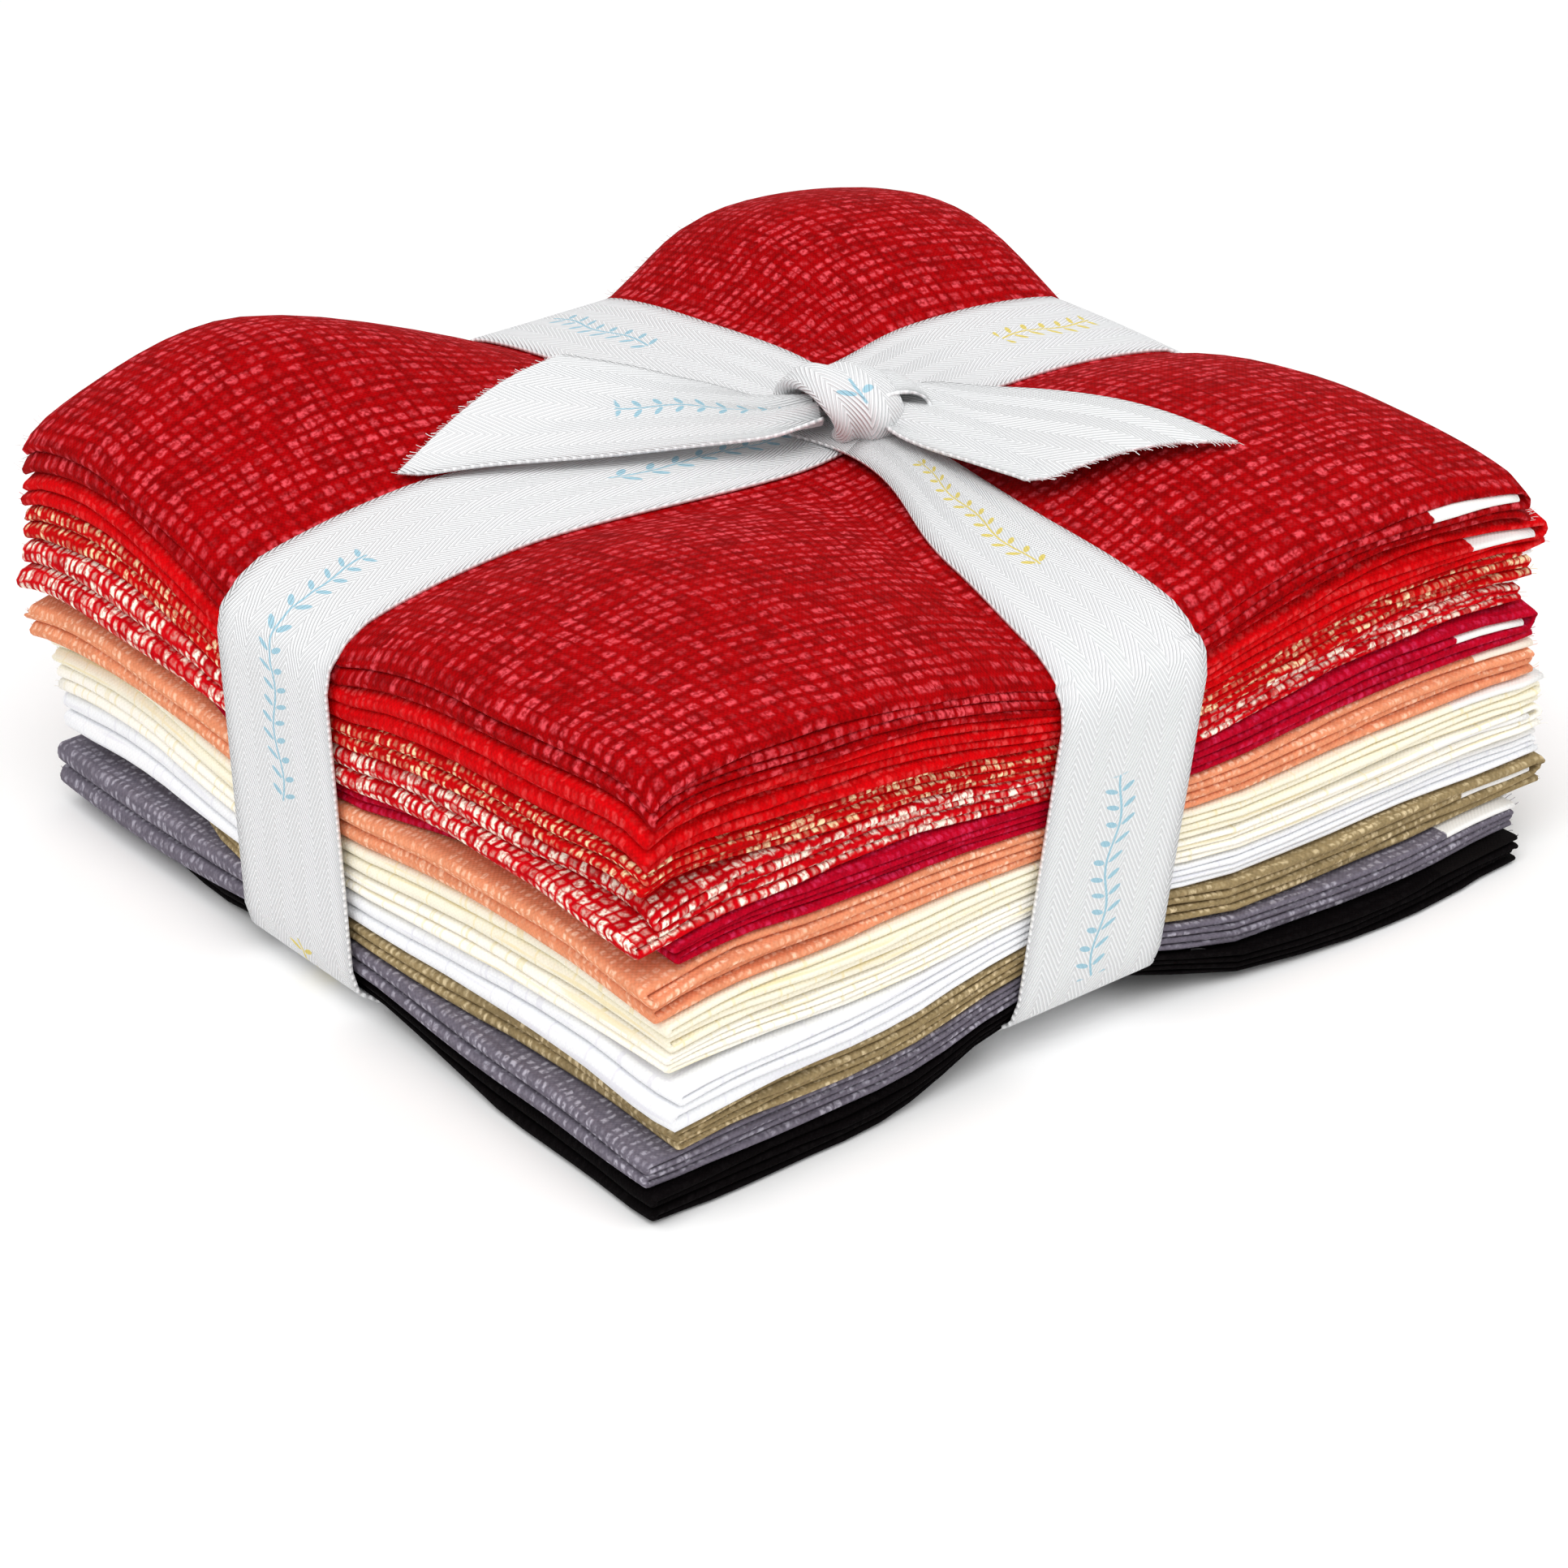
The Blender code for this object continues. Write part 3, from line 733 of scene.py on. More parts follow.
@dataclass(frozen=True)
class CottonFinish:
    """A printed quilting cotton: its ground, its flecks and its plain weave."""

    ground: Colour
    fleck: Colour
    kind: PrintKind = PrintKind.DASHES
    pitch: tuple[float, float] = (1.45, 1.45)
    fleck_size: tuple[float, float] = (0.62, 0.50)
    strength: float = 0.75
    sparse: float = 0.12
    # how much darker the dye streaks get; it also sets how dark the painted shade in the weave's hollows
    # is
    dark: float = 0.72
    margin: Colour = (0.86, 0.85, 0.83)
    margin_width: float = 17.0
    thread: float = 0.34
    thread_colour: Colour | None = None
    roughness: float = 0.86
    specular: float = 0.04
    drift: tuple[float, float] = (0.09, 2.4)
    shake: tuple[float, float] = (0.8, 0.8)
    fleck_growth: tuple[float, float] = (0.70, 0.62)
    fleck_slip: float = 0.26
    soft_edge: tuple[float, float] = (0.16, 0.12)
    margin_wander: float = 0.8
    margin_edge: float = 0.25
    slub: float = 1.2
    relief: float = 0.4
    relief_depth: float = 0.00006

    def make(self, name: str) -> bpy.types.Material:
        """Build the printed side's material.

        Args:
            name: The material's name.

        Returns:
            The material, which reads the sheet's flat position in metres.
        """
        w = Weaver(name)
        size = w.flat_place()
        share = self.drawn_lines(w, size) if self.kind is PrintKind.LINES else self.flecks(w, size)
        # streaks of deeper dye along both threads
        streaks = [w.noise(w.vector('MULTIPLY', size, stretch), 1.0)
                   for stretch in ((0.10, 1.3, 0.0), (1.3, 0.10, 0.0))]
        tone = w.edge(w.math('ADD', *streaks), 0.75, 1.2, self.dark, 1.0)
        crossing = self.weave(w, size)
        # the weave's hollows are painted darker and its crests a touch lighter: painted shade and
        # highlight of the weave, over the dye streaks
        tone = w.math('MULTIPLY', tone, w.edge(crossing, -1.0, 1.0, 0.5 + 0.5 * self.dark, 1.04))
        printed = w.mix(share, w.tinted(self.ground, tone), self.fleck)
        # the unprinted margin, whose border wanders a little
        border = w.math('MULTIPLY_ADD', w.noise(size, 1.6, 3.0), self.margin_wander,
                        -self.margin_wander / 2)
        place = w.math('ADD', w.parts(size)[0], border)
        beyond = w.edge(place, self.margin_width, self.margin_width - self.margin_edge)
        w.colour(w.mix(beyond, printed, self.margin))
        self.finish(w, crossing, size)
        return w.material

    def flecks(self, w: Weaver, size: bpy.types.NodeSocket) -> bpy.types.NodeSocket:
        """Mask a print of small flecks, one for each cell of a grid that wanders.

        Args:
            w: The material's tree.
            size: The flat position in millimetres.

        Returns:
            The share of the fleck's colour.
        """
        moved = self.wandering(w, size, size, *self.drift)
        moved = self.wandering(w, size, moved, *self.shake)
        cells = w.vector('DIVIDE', moved, (*self.pitch, 1.0))
        centred = w.vector('SUBTRACT', w.vector('FRACTION', cells), (0.5, 0.5, 0.0))
        chance = w.node("ShaderNodeTexWhiteNoise", {0: w.vector('FLOOR', cells)},
                        noise_dimensions='3D')
        first, second, third = w.parts(chance.outputs["Color"])
        across, along, _ = w.parts(centred)
        # each fleck has its own size and place in its cell, with soft edges
        slip = w.math('MULTIPLY_ADD', third, self.fleck_slip, -self.fleck_slip / 2)
        across = w.math('ADD', across, slip)
        walls = []
        for place, luck, full in zip((across, along), (first, second), self.fleck_size):
            half = w.math('MULTIPLY', w.math('MULTIPLY_ADD', luck, *self.fleck_growth), full / 2)
            outside, inside = self.soft_edge
            walls.append(w.edge(w.math('ABSOLUTE', place), w.math('ADD', half, outside),
                                w.math('SUBTRACT', half, inside)))
        # some are weak or missing, some patches are fainter, and the ink is dabbed on unevenly
        shown = w.edge(chance.outputs["Value"], self.sparse, self.sparse + 0.45, 0.22, 1.0)
        patch = w.edge(w.noise(size, 0.035, 1.0), 0.30, 0.66, 0.62, 1.0)
        dabs = w.edge(w.noise(size, 1.5, 2.0), 0.38, 0.60, 0.25, 1.15)
        share = w.math('MULTIPLY', w.math('MULTIPLY', *walls), w.math('MULTIPLY', shown, dabs))
        return w.math('MULTIPLY', share, w.math('MULTIPLY', patch, self.strength))

    @staticmethod
    def wandering(w: Weaver, size: bpy.types.NodeSocket, start: bpy.types.NodeSocket, scale: float,
                  reach: float) -> bpy.types.NodeSocket:
        """Shift a position by a smooth random amount.

        Args:
            w: The material's tree.
            size: The flat position in millimetres, which the amount is read at.
            start: The position to shift.
            scale: How quickly the amount changes.
            reach: Its whole range in millimetres.

        Returns:
            The shifted position.
        """
        noise = w.node("ShaderNodeTexNoise", {"Vector": size, "Scale": scale, "Detail": 1.0})
        centred = w.vector('SUBTRACT', noise.outputs["Color"], (0.5, 0.5, 0.5))
        return w.vector('ADD', start, w.vector('MULTIPLY', centred, (reach, reach, 0.0)))

    def make_wrong_side(self, name: str) -> bpy.types.Material:
        """Build the material of the unprinted side, where the dye only shows through.

        Args:
            name: The material's name.

        Returns:
            The material, which reads the sheet's flat position too.
        """
        w = Weaver(name)
        size = w.flat_place()
        faded = tuple(0.62 * part + 0.30 for part in self.ground)
        tone = w.edge(w.noise(size, 0.6, 3.0), 0.3, 0.7, 0.0, 0.5)
        w.colour(w.mix(tone, faded, self.margin))
        self.finish(w, self.weave(w, size), size)
        return w.material

    def weave(self, w: Weaver, size: bpy.types.NodeSocket) -> bpy.types.NodeSocket:
        """Weave the plain weave.

        Args:
            w: The material's tree.
            size: The flat position in millimetres.

        Returns:
            Its height, -1 to 1.
        """
        turns = w.vector('MULTIPLY', size, (math.pi / self.thread, math.pi / self.thread, 0.0))
        across, along, _ = w.parts(turns)
        return w.math('MULTIPLY', w.math('SINE', across), w.math('SINE', along))

    def drawn_lines(self, w: Weaver, size: bpy.types.NodeSocket) -> bpy.types.NodeSocket:
        """Mask a print of thin, broken lines in both directions.

        Args:
            w: The material's tree.
            size: The flat position in millimetres.

        Returns:
            The share of the lines' colour.
        """
        masks = []
        for stretch in ((0.04, 1.0, 0.0), (1.0, 0.04, 0.0)):
            value = w.noise(w.vector('MULTIPLY', size, stretch), 1.1, 3.0)
            masks.append(w.edge(value, 0.55, 0.68))
        return w.math('MULTIPLY', w.math('MAXIMUM', *masks), self.strength)

    def finish(self, w: Weaver, crossing: bpy.types.NodeSocket, size: bpy.types.NodeSocket) -> None:
        """Set the cotton's dull surface and the relief of its threads.

        Args:
            w: The material's tree.
            crossing: The height of the weave.
            size: The flat position in millimetres.
        """
        w.gloss(self.roughness, self.specular)
        height = w.math('MULTIPLY_ADD', w.noise(size, 1.1, 3.0), self.slub, crossing)
        w.relief(height, self.relief, self.relief_depth)


class Ink(Enum):
    """The two inks of the tape's print."""

    BLUE = "blue"
    YELLOW = "yellow"


@dataclass(frozen=True)
class Sprig:
    """A printed sprig: its middle along the tape, its length and its ink."""

    middle: float
    length: float
    ink: Ink


@dataclass(frozen=True)
class TapeFinish:
    """White cotton tape in herringbone twill, with small printed sprigs at intervals."""

    white: Colour = (0.97, 0.98, 0.99)
    first_ink: Colour = dyed(150, 205, 225)
    second_ink: Colour = dyed(240, 215, 60)
    rib: float = 1.15
    stripe: float = 5.6
    leaf_pitch: float = 2.7
    leaf_size: tuple[float, float] = (0.42, 1.0)
    leaf_middle: float = 1.35
    leaf_slant: float = 0.45
    leaf_root: float = 0.6
    stem_turns: float = 0.45
    stem_sway: float = 0.6
    stem_half: tuple[float, float] = (0.26, 0.12)
    print_edge: float = 0.4
    ink_cover: float = 0.85
    roughness: float = 0.7
    specular: float = 0.3
    sheen: float = 0.05
    relief: float = 0.8
    relief_depth: float = 0.00016

    def make(self, name: str, width: float, sprigs: tuple[Sprig, ...] = ()) -> bpy.types.Material:
        """Build the tape's material.

        Args:
            name: The material's name.
            width: The tape's width in millimetres.
            sprigs: Where it is printed.

        Returns:
            The material, which reads the strip's flat position in metres: its length and its width.
        """
        w = Weaver(name)
        along, across, _ = w.parts(w.flat_place())
        ribs = self.herringbone(w, along, across)
        shown = {ink: 0.0 for ink in Ink}
        for sprig in sprigs:
            off = w.math('ABSOLUTE', w.math('SUBTRACT', along, sprig.middle))
            here = w.edge(off, sprig.length / 2, sprig.length / 2 - self.print_edge)
            shown[sprig.ink] = w.math('MAXIMUM', shown[sprig.ink], here)
        within = w.math('MAXIMUM', shown[Ink.BLUE], shown[Ink.YELLOW])
        leaves = self.leaves(w, along, w.math('SUBTRACT', across, width / 2))
        inked = w.math('MULTIPLY', leaves, within)
        ink = w.mix(shown[Ink.YELLOW], self.first_ink, self.second_ink)
        # the hollows of the herringbone ribs are painted darker: painted shade of the twill
        white = w.tinted(self.white, w.edge(ribs, -1.0, 1.0, 0.80, 1.0))
        w.colour(w.mix(w.math('MULTIPLY', inked, self.ink_cover), white, ink))
        w.gloss(self.roughness, self.specular)
        w.shader.inputs["Sheen Weight"].default_value = self.sheen
        w.relief(ribs, self.relief, self.relief_depth)
        return w.material

    def leaves(self, w: Weaver, along: bpy.types.NodeSocket,
               middle: bpy.types.NodeSocket) -> bpy.types.NodeSocket:
        """Mask an endless sprig: a wavy stem with slanted leaves on both sides.

        Args:
            w: The material's tree.
            along: Distance along the tape in millimetres.
            middle: Distance from the tape's middle in millimetres.

        Returns:
            1 on the sprig and 0 beside it.
        """
        wave = w.math('SINE', w.math('MULTIPLY', along, self.stem_turns))
        stem_middle = w.math('MULTIPLY', wave, self.stem_sway)
        beside = w.math('ABSOLUTE', w.math('SUBTRACT', middle, stem_middle))
        stem = w.edge(beside, *self.stem_half)
        cell = w.math('SUBTRACT', w.math('FRACT', w.math('DIVIDE', along, self.leaf_pitch)), 0.5)
        slant = w.math('SUBTRACT', w.math('MULTIPLY', beside, self.leaf_slant), self.leaf_root)
        leaf_x = w.math('SUBTRACT', w.math('MULTIPLY', cell, self.leaf_pitch), slant)
        leaf_y = w.math('SUBTRACT', beside, self.leaf_middle)
        squares = [w.math('POWER', w.math('ABSOLUTE', w.math('DIVIDE', offset, half)), 2.0)
                   for offset, half in zip((leaf_x, leaf_y), self.leaf_size)]
        return w.math('MAXIMUM', stem, w.edge(w.math('ADD', *squares), 1.15, 0.8))

    def herringbone(self, w: Weaver, along: object, across: object) -> bpy.types.NodeSocket:
        """Weave the chevron ribs.

        Args:
            w: The material's tree.
            along: Distance along the tape in millimetres.
            across: Distance across it.

        Returns:
            The ribs' height, -1 to 1.
        """
        stripe = w.math('FRACT', w.math('DIVIDE', across, self.stripe))
        zigzag = w.math('MULTIPLY', w.math('ABSOLUTE', w.math('SUBTRACT', stripe, 0.5)),
                        self.stripe * 2)
        turn = w.math('MULTIPLY', w.math('ADD', along, zigzag), 2 * math.pi / self.rib)
        return w.math('SINE', turn)


class FoldKind(Enum):
    """The levels of a cloth's four panels, counted from the bottom, from its selvage on."""

    ZIGZAG = (3, 2, 1, 0)
    TUCKED = (2, 3, 1, 0)


def eased_run(start: float, end: float, steps: int) -> np.ndarray:
    """Return the stops of a straight run, which lie closer together at its ends."""
    share = np.linspace(0.0, 1.0, steps + 1)
    return start + (share - 0.06 * np.sin(2 * np.pi * share)) * (end - start)


def half_turn(end: float, towards: float, before: float, after: float,
              steps: int) -> tuple[list[float], list[float]]:
    """Fold a sheet back round a half circle.

    Args:
        end: Where the run before the fold ends.
        towards: 1 if that run goes up the axis, -1 if it goes down.
        before: The run's level.
        after: The level of the next run.
        steps: Steps round the half circle.

    Returns:
        The places along the axis and the levels, without those of the two runs' own ends.
    """
    middle, radius = (before + after) / 2, (before - after) / 2
    angles = [math.pi * step / steps for step in range(1, steps)]
    return ([end + towards * abs(radius) * math.sin(angle) for angle in angles],
            [middle + radius * math.cos(angle) for angle in angles])


@dataclass
class FatQuarter:
    """One cotton cut, folded into its place in the stack."""

    number: int
    finish: CottonFinish
    fold: FoldKind
    # how far its edges stand out of line, and how they stray, sag and turn
    left: float = 0.0
    right: float = 0.0
    front: float = 0.0
    back: float = 0.0
    near_corner: float = 0.0
    far_left: float = 0.0
    belly: float = 0.0
    drape: float = 0.0
    hollow: float = 0.0
    turn: float = 0.0
    rolls: tuple[float, float] = (0.0, 0.0)
    divisions: int = 24
    thickness: float = 0.18
    flat_size: tuple[float, float] = (559.0, 457.0)
    ply_pitch: float = 0.2175
    panel_gap: float = 0.16
    fold_steps: int = 6
    fray_length: float = 1.4
    fray_spacing: float = 0.8
    top_lift: float = 0.0
    # where its folds and shifts begin
    top_ply: Onset = Onset(0.93, 0.03)
    tuck: float = 2.6
    cut_inset: float = 0.3
    raw_inset: float = 0.4
    last_ply: float = 67.0
    corner_spread: float = 26.0
    side: Onset = Onset(42.0, 28.0)
    front_side: Onset = Onset(40.0, 25.0)
    back_side: Onset = Onset(43.0, 22.0)
    towards_far: Onset = Onset(-20.0, 80.0)
    towards_near: Onset = Onset(15.0, 50.0)
    towards_left: Onset = Onset(15.0, 55.0)
    past_strand: Onset = Onset(9.5, 10.0)
    hollow_at: tuple[float, float] = (-58.0, 12.0)
    belly_at: tuple[float, float] = (36.0, 30.0)
    slide_front: tuple[float, float] = (0.5, 0.16)
    slide_left: tuple[float, float] = (0.3, 0.10)

    @property
    def name(self) -> str:
        """The cloth's CAD node."""
        return f"fat_quarter_{self.number:02d}"

    def panel_path(self, stack: TiedStack) -> tuple[np.ndarray, ...]:
        """Trace the sheet's middle through its panels, seen from the front.

        Args:
            stack: The stack that it lies in.

        Returns:
            Along the sheet: x, height in the cloth, and the two parts of its normal.
        """
        panel = (stack.even_room - 3 * self.panel_gap) / 4
        heights = [panel / 2 + level * (panel + self.panel_gap) for level in self.fold.value]
        x, z = [], []
        for index, height in enumerate(heights):
            towards = -1.0 if index % 2 == 0 else 1.0
            after = heights[index + 1] if index < 3 else None
            before = heights[index - 1] if index else None
            inset = self.tuck if self.fold is FoldKind.TUCKED and index == 0 else self.cut_inset
            start, end = (
                stack.half_x - (abs(beside - height) / 2 + panel / 2 if beside is not None else cut)
                for beside, cut in ((before, inset), (after, self.cut_inset)))
            x += list(eased_run(-towards * start, towards * end, self.divisions))
            z += [height] * (self.divisions + 1)
            if after is not None:
                turn = half_turn(towards * end, towards, height, after, self.fold_steps)
                x, z = x + turn[0], z + turn[1]
        x, z = np.array(x), np.array(z)
        length = np.concatenate([[0.0], np.cumsum(np.hypot(np.diff(x), np.diff(z)))])
        heading = np.stack([np.gradient(x, length), np.gradient(z, length)], 1)
        heading /= np.linalg.norm(heading, axis=1)[:, None]
        turned = -1.0 if self.fold is FoldKind.TUCKED else 1.0
        return x, z, heading[:, 1] * turned, -heading[:, 0] * turned

    def ply_path(self, stack: TiedStack) -> tuple[np.ndarray, ...]:
        """Trace the sheet through the plies of one panel, seen from the side.

        Args:
            stack: The stack that it lies in.

        Returns:
            Along the sheet: y, and the offset from the panel's middle.
        """
        pitch = self.ply_pitch
        near, far = -stack.half_y + 2 * pitch, stack.half_y - 2 * pitch
        runs = [
            (stack.half_y - self.raw_inset, near, -1.5 * pitch), (near, far - pitch, 1.5 * pitch),
            (far - pitch, near + 2 * pitch, 0.5 * pitch),
            (near + 2 * pitch, near + self.last_ply, -0.5 * pitch),
        ]
        y, offset = [], []
        for index, (start, end, level) in enumerate(runs):
            steps = self.divisions if index < 3 else self.divisions // 2
            y += list(eased_run(start, end, steps))
            offset += [level] * (steps + 1)
            if index < 3:
                turn = half_turn(end, math.copysign(1.0, end - start), level, runs[index + 1][2],
                                 self.fold_steps)
                y, offset = y + turn[0], offset + turn[1]
        return np.array(y), np.array(offset)

    def build(self, stack: TiedStack, frayer: Frayer) -> bpy.types.Object:
        """Fold the sheet, lay it in its room of the stack, press it and dress it.

        Args:
            stack: The stack that it lies in.
            frayer: Makes the loose threads of its cut edges.

        Returns:
            The cloth.
        """
        path_x, path_z, out_x, out_z = self.panel_path(stack)
        ply_y, ply_offset = self.ply_path(stack)
        x = (path_x[:, None] + out_x[:, None] * ply_offset[None, :]).ravel()
        z = (path_z[:, None] + out_z[:, None] * ply_offset[None, :]).ravel()
        y = np.broadcast_to(ply_y[None, :], (len(path_x), len(ply_y))).ravel()
        share = z / stack.even_room
        x, y = self.stagger(stack, x, y, share)
        low, thick = stack.layer(self.number, x, y)
        at_corner = mound(x, y, (-stack.half_x, -stack.half_y), self.corner_spread)
        level = np.clip(share, 0.0, 1.0) ** (1.0 - self.drape * at_corner)
        places = stack.press(np.stack([x, y, low + level * thick], 1))
        places[:, 2] += self.top_lift * self.top_ply(share)
        is_lowest = self.number == stack.cloths
        if is_lowest:
            places[:, 2] = np.maximum(places[:, 2], self.thickness / 2)
        grid = places.reshape(len(path_x), len(ply_y), 3)
        uvs = np.stack([self.run(grid, 0), self.run(grid, 1)], 2).reshape(-1, 2) * MM
        faces = grid_faces(len(path_x), len(ply_y), flip=self.fold is FoldKind.TUCKED)
        cloth = mesh_object(self.name + "_cloth", places, faces, uvs)
        cloth.data.materials.append(self.finish.make(self.name + "_print"))
        cloth.data.materials.append(self.finish.make_wrong_side(self.name + "_back"))
        give_thickness(cloth, self.thickness, wrong_side=1)
        settle(cloth, self.name)
        threads = self.fray(frayer, grid, is_lowest)
        return cloth

    @staticmethod
    def run(grid: np.ndarray, axis: int) -> np.ndarray:
        """Measure along the cloth's outer plies.

        Args:
            grid: The cloth's points, as rows and columns of places.
            axis: Along the rows or the columns.

        Returns:
            Every point's distance from the first one in millimetres.
        """
        steps = np.percentile(np.linalg.norm(np.diff(grid, axis=axis), axis=2), 85, axis=1 - axis)
        length = np.insert(np.cumsum(steps), 0, 0.0)
        return np.broadcast_to(np.expand_dims(length, 1 - axis), grid.shape[:2])

    def fray(self, frayer: Frayer, grid: np.ndarray, is_lowest: bool) -> bpy.types.Object:
        """Fray the outer plies at the cut ends that lie free, and the raw back edge.

        Args:
            frayer: Makes the threads.
            grid: The cloth's points, as rows and columns of places.
            is_lowest: Whether its last end lies on the floor, where no thread has room.

        Returns:
            The threads.
        """
        outer = 2 * self.divisions + self.fold_steps + 1
        sides = [(grid[:, 0], grid[:, 1])]
        if self.fold is FoldKind.ZIGZAG:
            sides.append((grid[0, :outer], grid[1, :outer]))
        if not is_lowest:
            sides.append((grid[-1, :outer], grid[-2, :outer]))
        edges = []
        for end, inner in sides:
            out = (end - inner) * (1.0, 1.0, 0.3)
            edges.append((end, out / np.maximum(np.linalg.norm(out, axis=1), 1e-6)[:, None]))
        dye = self.finish.thread_colour or self.finish.ground
        thread = thread_material(self.name + "_thread", dye)
        threads = frayer.fray(self.name + "_threads", edges, thread, self.fray_spacing,
                              self.fray_length, THREAD_SEED + self.number)
        settle(threads)
        return threads

    def stagger(self, stack: TiedStack, x: np.ndarray, y: np.ndarray, level: np.ndarray) -> tuple:
        """Slide the panels a little out of line, as hands leave them.

        Args:
            stack: The stack that the cloth lies in.
            x: Places along the stack.
            y: Places across it.
            level: Height in the cloth, 0 to 1.

        Returns:
            The places x and y after the slide.
        """
        hat = (0.0, 0.0, 1.0, 1.0, 0.0, 0.0)
        free_x = 1 - stack.pinch * SmoothTable(stack.rows, hat)(y)
        free_y = 1 - stack.pinch * SmoothTable(stack.columns, hat)(x)
        panel = np.clip(np.floor(level * 4), 0, 3)
        pair = np.floor(panel / 2)
        own = Ripple(seed=SLIDE_SEED + self.number, shortest=28.0, longest=70.0)
        finer = Ripple(seed=FINE_SLIDE_SEED + self.number, shortest=9.0, longest=20.0)
        # a far second place for each panel, so that their ripples have nothing in common
        shift_front = (self.slide_front[0] * own(x, panel * 37.0)
                       + self.slide_front[1] * finer(x, panel * 11.0))
        shift_left = (self.slide_left[0] * own(y, 90.0 + pair * 41.0)
                      + self.slide_left[1] * finer(y, pair * 13.0))
        roll = np.where(level > 0.5, self.rolls[1], self.rolls[0])
        turned_x, turned_y = -self.turn * y / stack.half_y, self.turn * x / stack.half_x
        far = self.far_left * self.towards_far(y) + 0.5 * self.near_corner * self.towards_near(-y)
        middle, spread = self.hollow_at
        far -= self.hollow * bell(y - middle, spread) * (level > 0.5)
        left = (self.left + roll + shift_left + turned_x + far) * self.side(-x)
        right = (self.right + shift_left - turned_x) * self.side(x)
        middle, spread = self.belly_at
        belly = self.belly * bell(x - middle, spread) * self.front_side(-y) * self.past_strand(x)
        corner = self.near_corner * self.towards_left(-x)
        front = (self.front + shift_front + corner + turned_y) * self.front_side(-y)
        back = (self.back + shift_front - turned_y) * self.back_side(y)
        return x + (right - left) * free_x, y + (back - front) * free_y - belly


def fat_quarters() -> list[FatQuarter]:
    """List the cuts: how each is dyed and printed, and how it lies.

    Returns:
        The twelve cuts from the top down.
    """
    red, tomato = dyed(170, 0, 5), dyed(214, 3, 10)
    finishes = (
        CottonFinish(red, dyed(224, 76, 86), pitch=(2.0, 2.0), fleck_size=(0.58, 0.44), sparse=0.2,
                     dark=0.60, strength=0.9, thread_colour=dyed(240, 232, 230)),
        CottonFinish(tomato, dyed(238, 80, 80), strength=0.5, sparse=0.3, margin_width=12.5),
        CottonFinish(dyed(205, 5, 10), dyed(250, 228, 180), pitch=(1.3, 1.3), fleck_size=(0.58, 0.46),
                     strength=1.15, sparse=0.30, margin_width=2.0, thread_colour=dyed(240, 220, 170)),
        CottonFinish(dyed(210, 4, 18), dyed(255, 248, 230), pitch=(1.55, 1.55), fleck_size=(0.66, 0.56),
                     strength=1.2, sparse=0.10, margin_width=2.5, thread_colour=dyed(245, 225, 205)),
        CottonFinish(dyed(188, 2, 36), dyed(215, 50, 95), strength=0.7, margin_width=12.5),
        CottonFinish(dyed(235, 150, 110), dyed(255, 208, 176), pitch=(1.2, 1.2), strength=0.9,
                     dark=0.86, margin=dyed(245, 232, 215), margin_width=11.0),
        CottonFinish(dyed(246, 240, 220), dyed(240, 224, 176), PrintKind.LINES, strength=0.7, dark=0.96),
        CottonFinish(dyed(250, 246, 236), dyed(240, 228, 186), PrintKind.LINES, strength=0.7, dark=0.98),
        CottonFinish(dyed(240, 241, 243), dyed(222, 221, 230), PrintKind.LINES, strength=0.6, dark=0.98),
        CottonFinish(dyed(156, 136, 98), dyed(225, 205, 165), pitch=(1.2, 1.2), strength=0.85,
                     dark=0.80, margin_width=13.0),
        CottonFinish(dyed(112, 106, 118), dyed(188, 184, 196), pitch=(1.3, 1.3), strength=0.75,
                     dark=0.80, margin_width=14.5),
        CottonFinish(dyed(8, 5, 6), dyed(22, 19, 20), strength=0.4, dark=0.7,
                     margin=(0.004, 0.003, 0.003)),
    )
    zigzag, tucked = FoldKind.ZIGZAG, FoldKind.TUCKED
    lies = (
        dict(fold=tucked, left=0.5, right=0.3, front=0.3, back=0.5, divisions=36, fray_length=2.4,
             fray_spacing=0.5, top_lift=0.12),
        dict(fold=tucked, left=1.0, right=4.0, front=-0.2, back=0.4),
        dict(fold=zigzag, left=0.8, right=2.2, front=-0.8, back=0.8, rolls=(0.3, 0.0), fray_length=1.8),
        dict(fold=zigzag, left=1.6, right=0.9, front=-1.1, back=1.0, rolls=(0.4, -0.6), near_corner=0.8,
             far_left=0.9, hollow=2.5, fray_length=1.8),
        dict(fold=tucked, left=-2.8, right=3.0, front=0.0, back=-0.6, far_left=-0.6),
        dict(fold=zigzag, left=0.9, right=2.6, front=0.2, back=0.4, rolls=(-0.5, 0.3), far_left=1.0),
        dict(fold=zigzag, left=-0.8, right=4.2, front=0.8, back=-0.4, panel_gap=0.08),
        dict(fold=tucked, left=-1.0, right=4.4, front=0.8, back=-0.6, panel_gap=0.08),
        dict(fold=zigzag, left=-1.6, right=4.8, front=0.4, back=-0.8, near_corner=2.6, drape=0.5,
             panel_gap=0.08),
        dict(fold=tucked, left=-2.2, right=5.8, front=0.5, back=-0.6, far_left=-3.8, belly=0.9),
        dict(fold=zigzag, left=0.2, right=0.8, front=0.4, back=-0.4, turn=1.2, near_corner=0.6,
             belly=1.8),
        dict(fold=zigzag, left=-0.6, right=0.4, front=1.0, back=-0.6, turn=1.5, near_corner=1.4,
             far_left=-2.6, belly=3.4),
    )
    return [FatQuarter(number=number, finish=finish, **lie)
            for number, (finish, lie) in enumerate(zip(finishes, lies), start=1)]


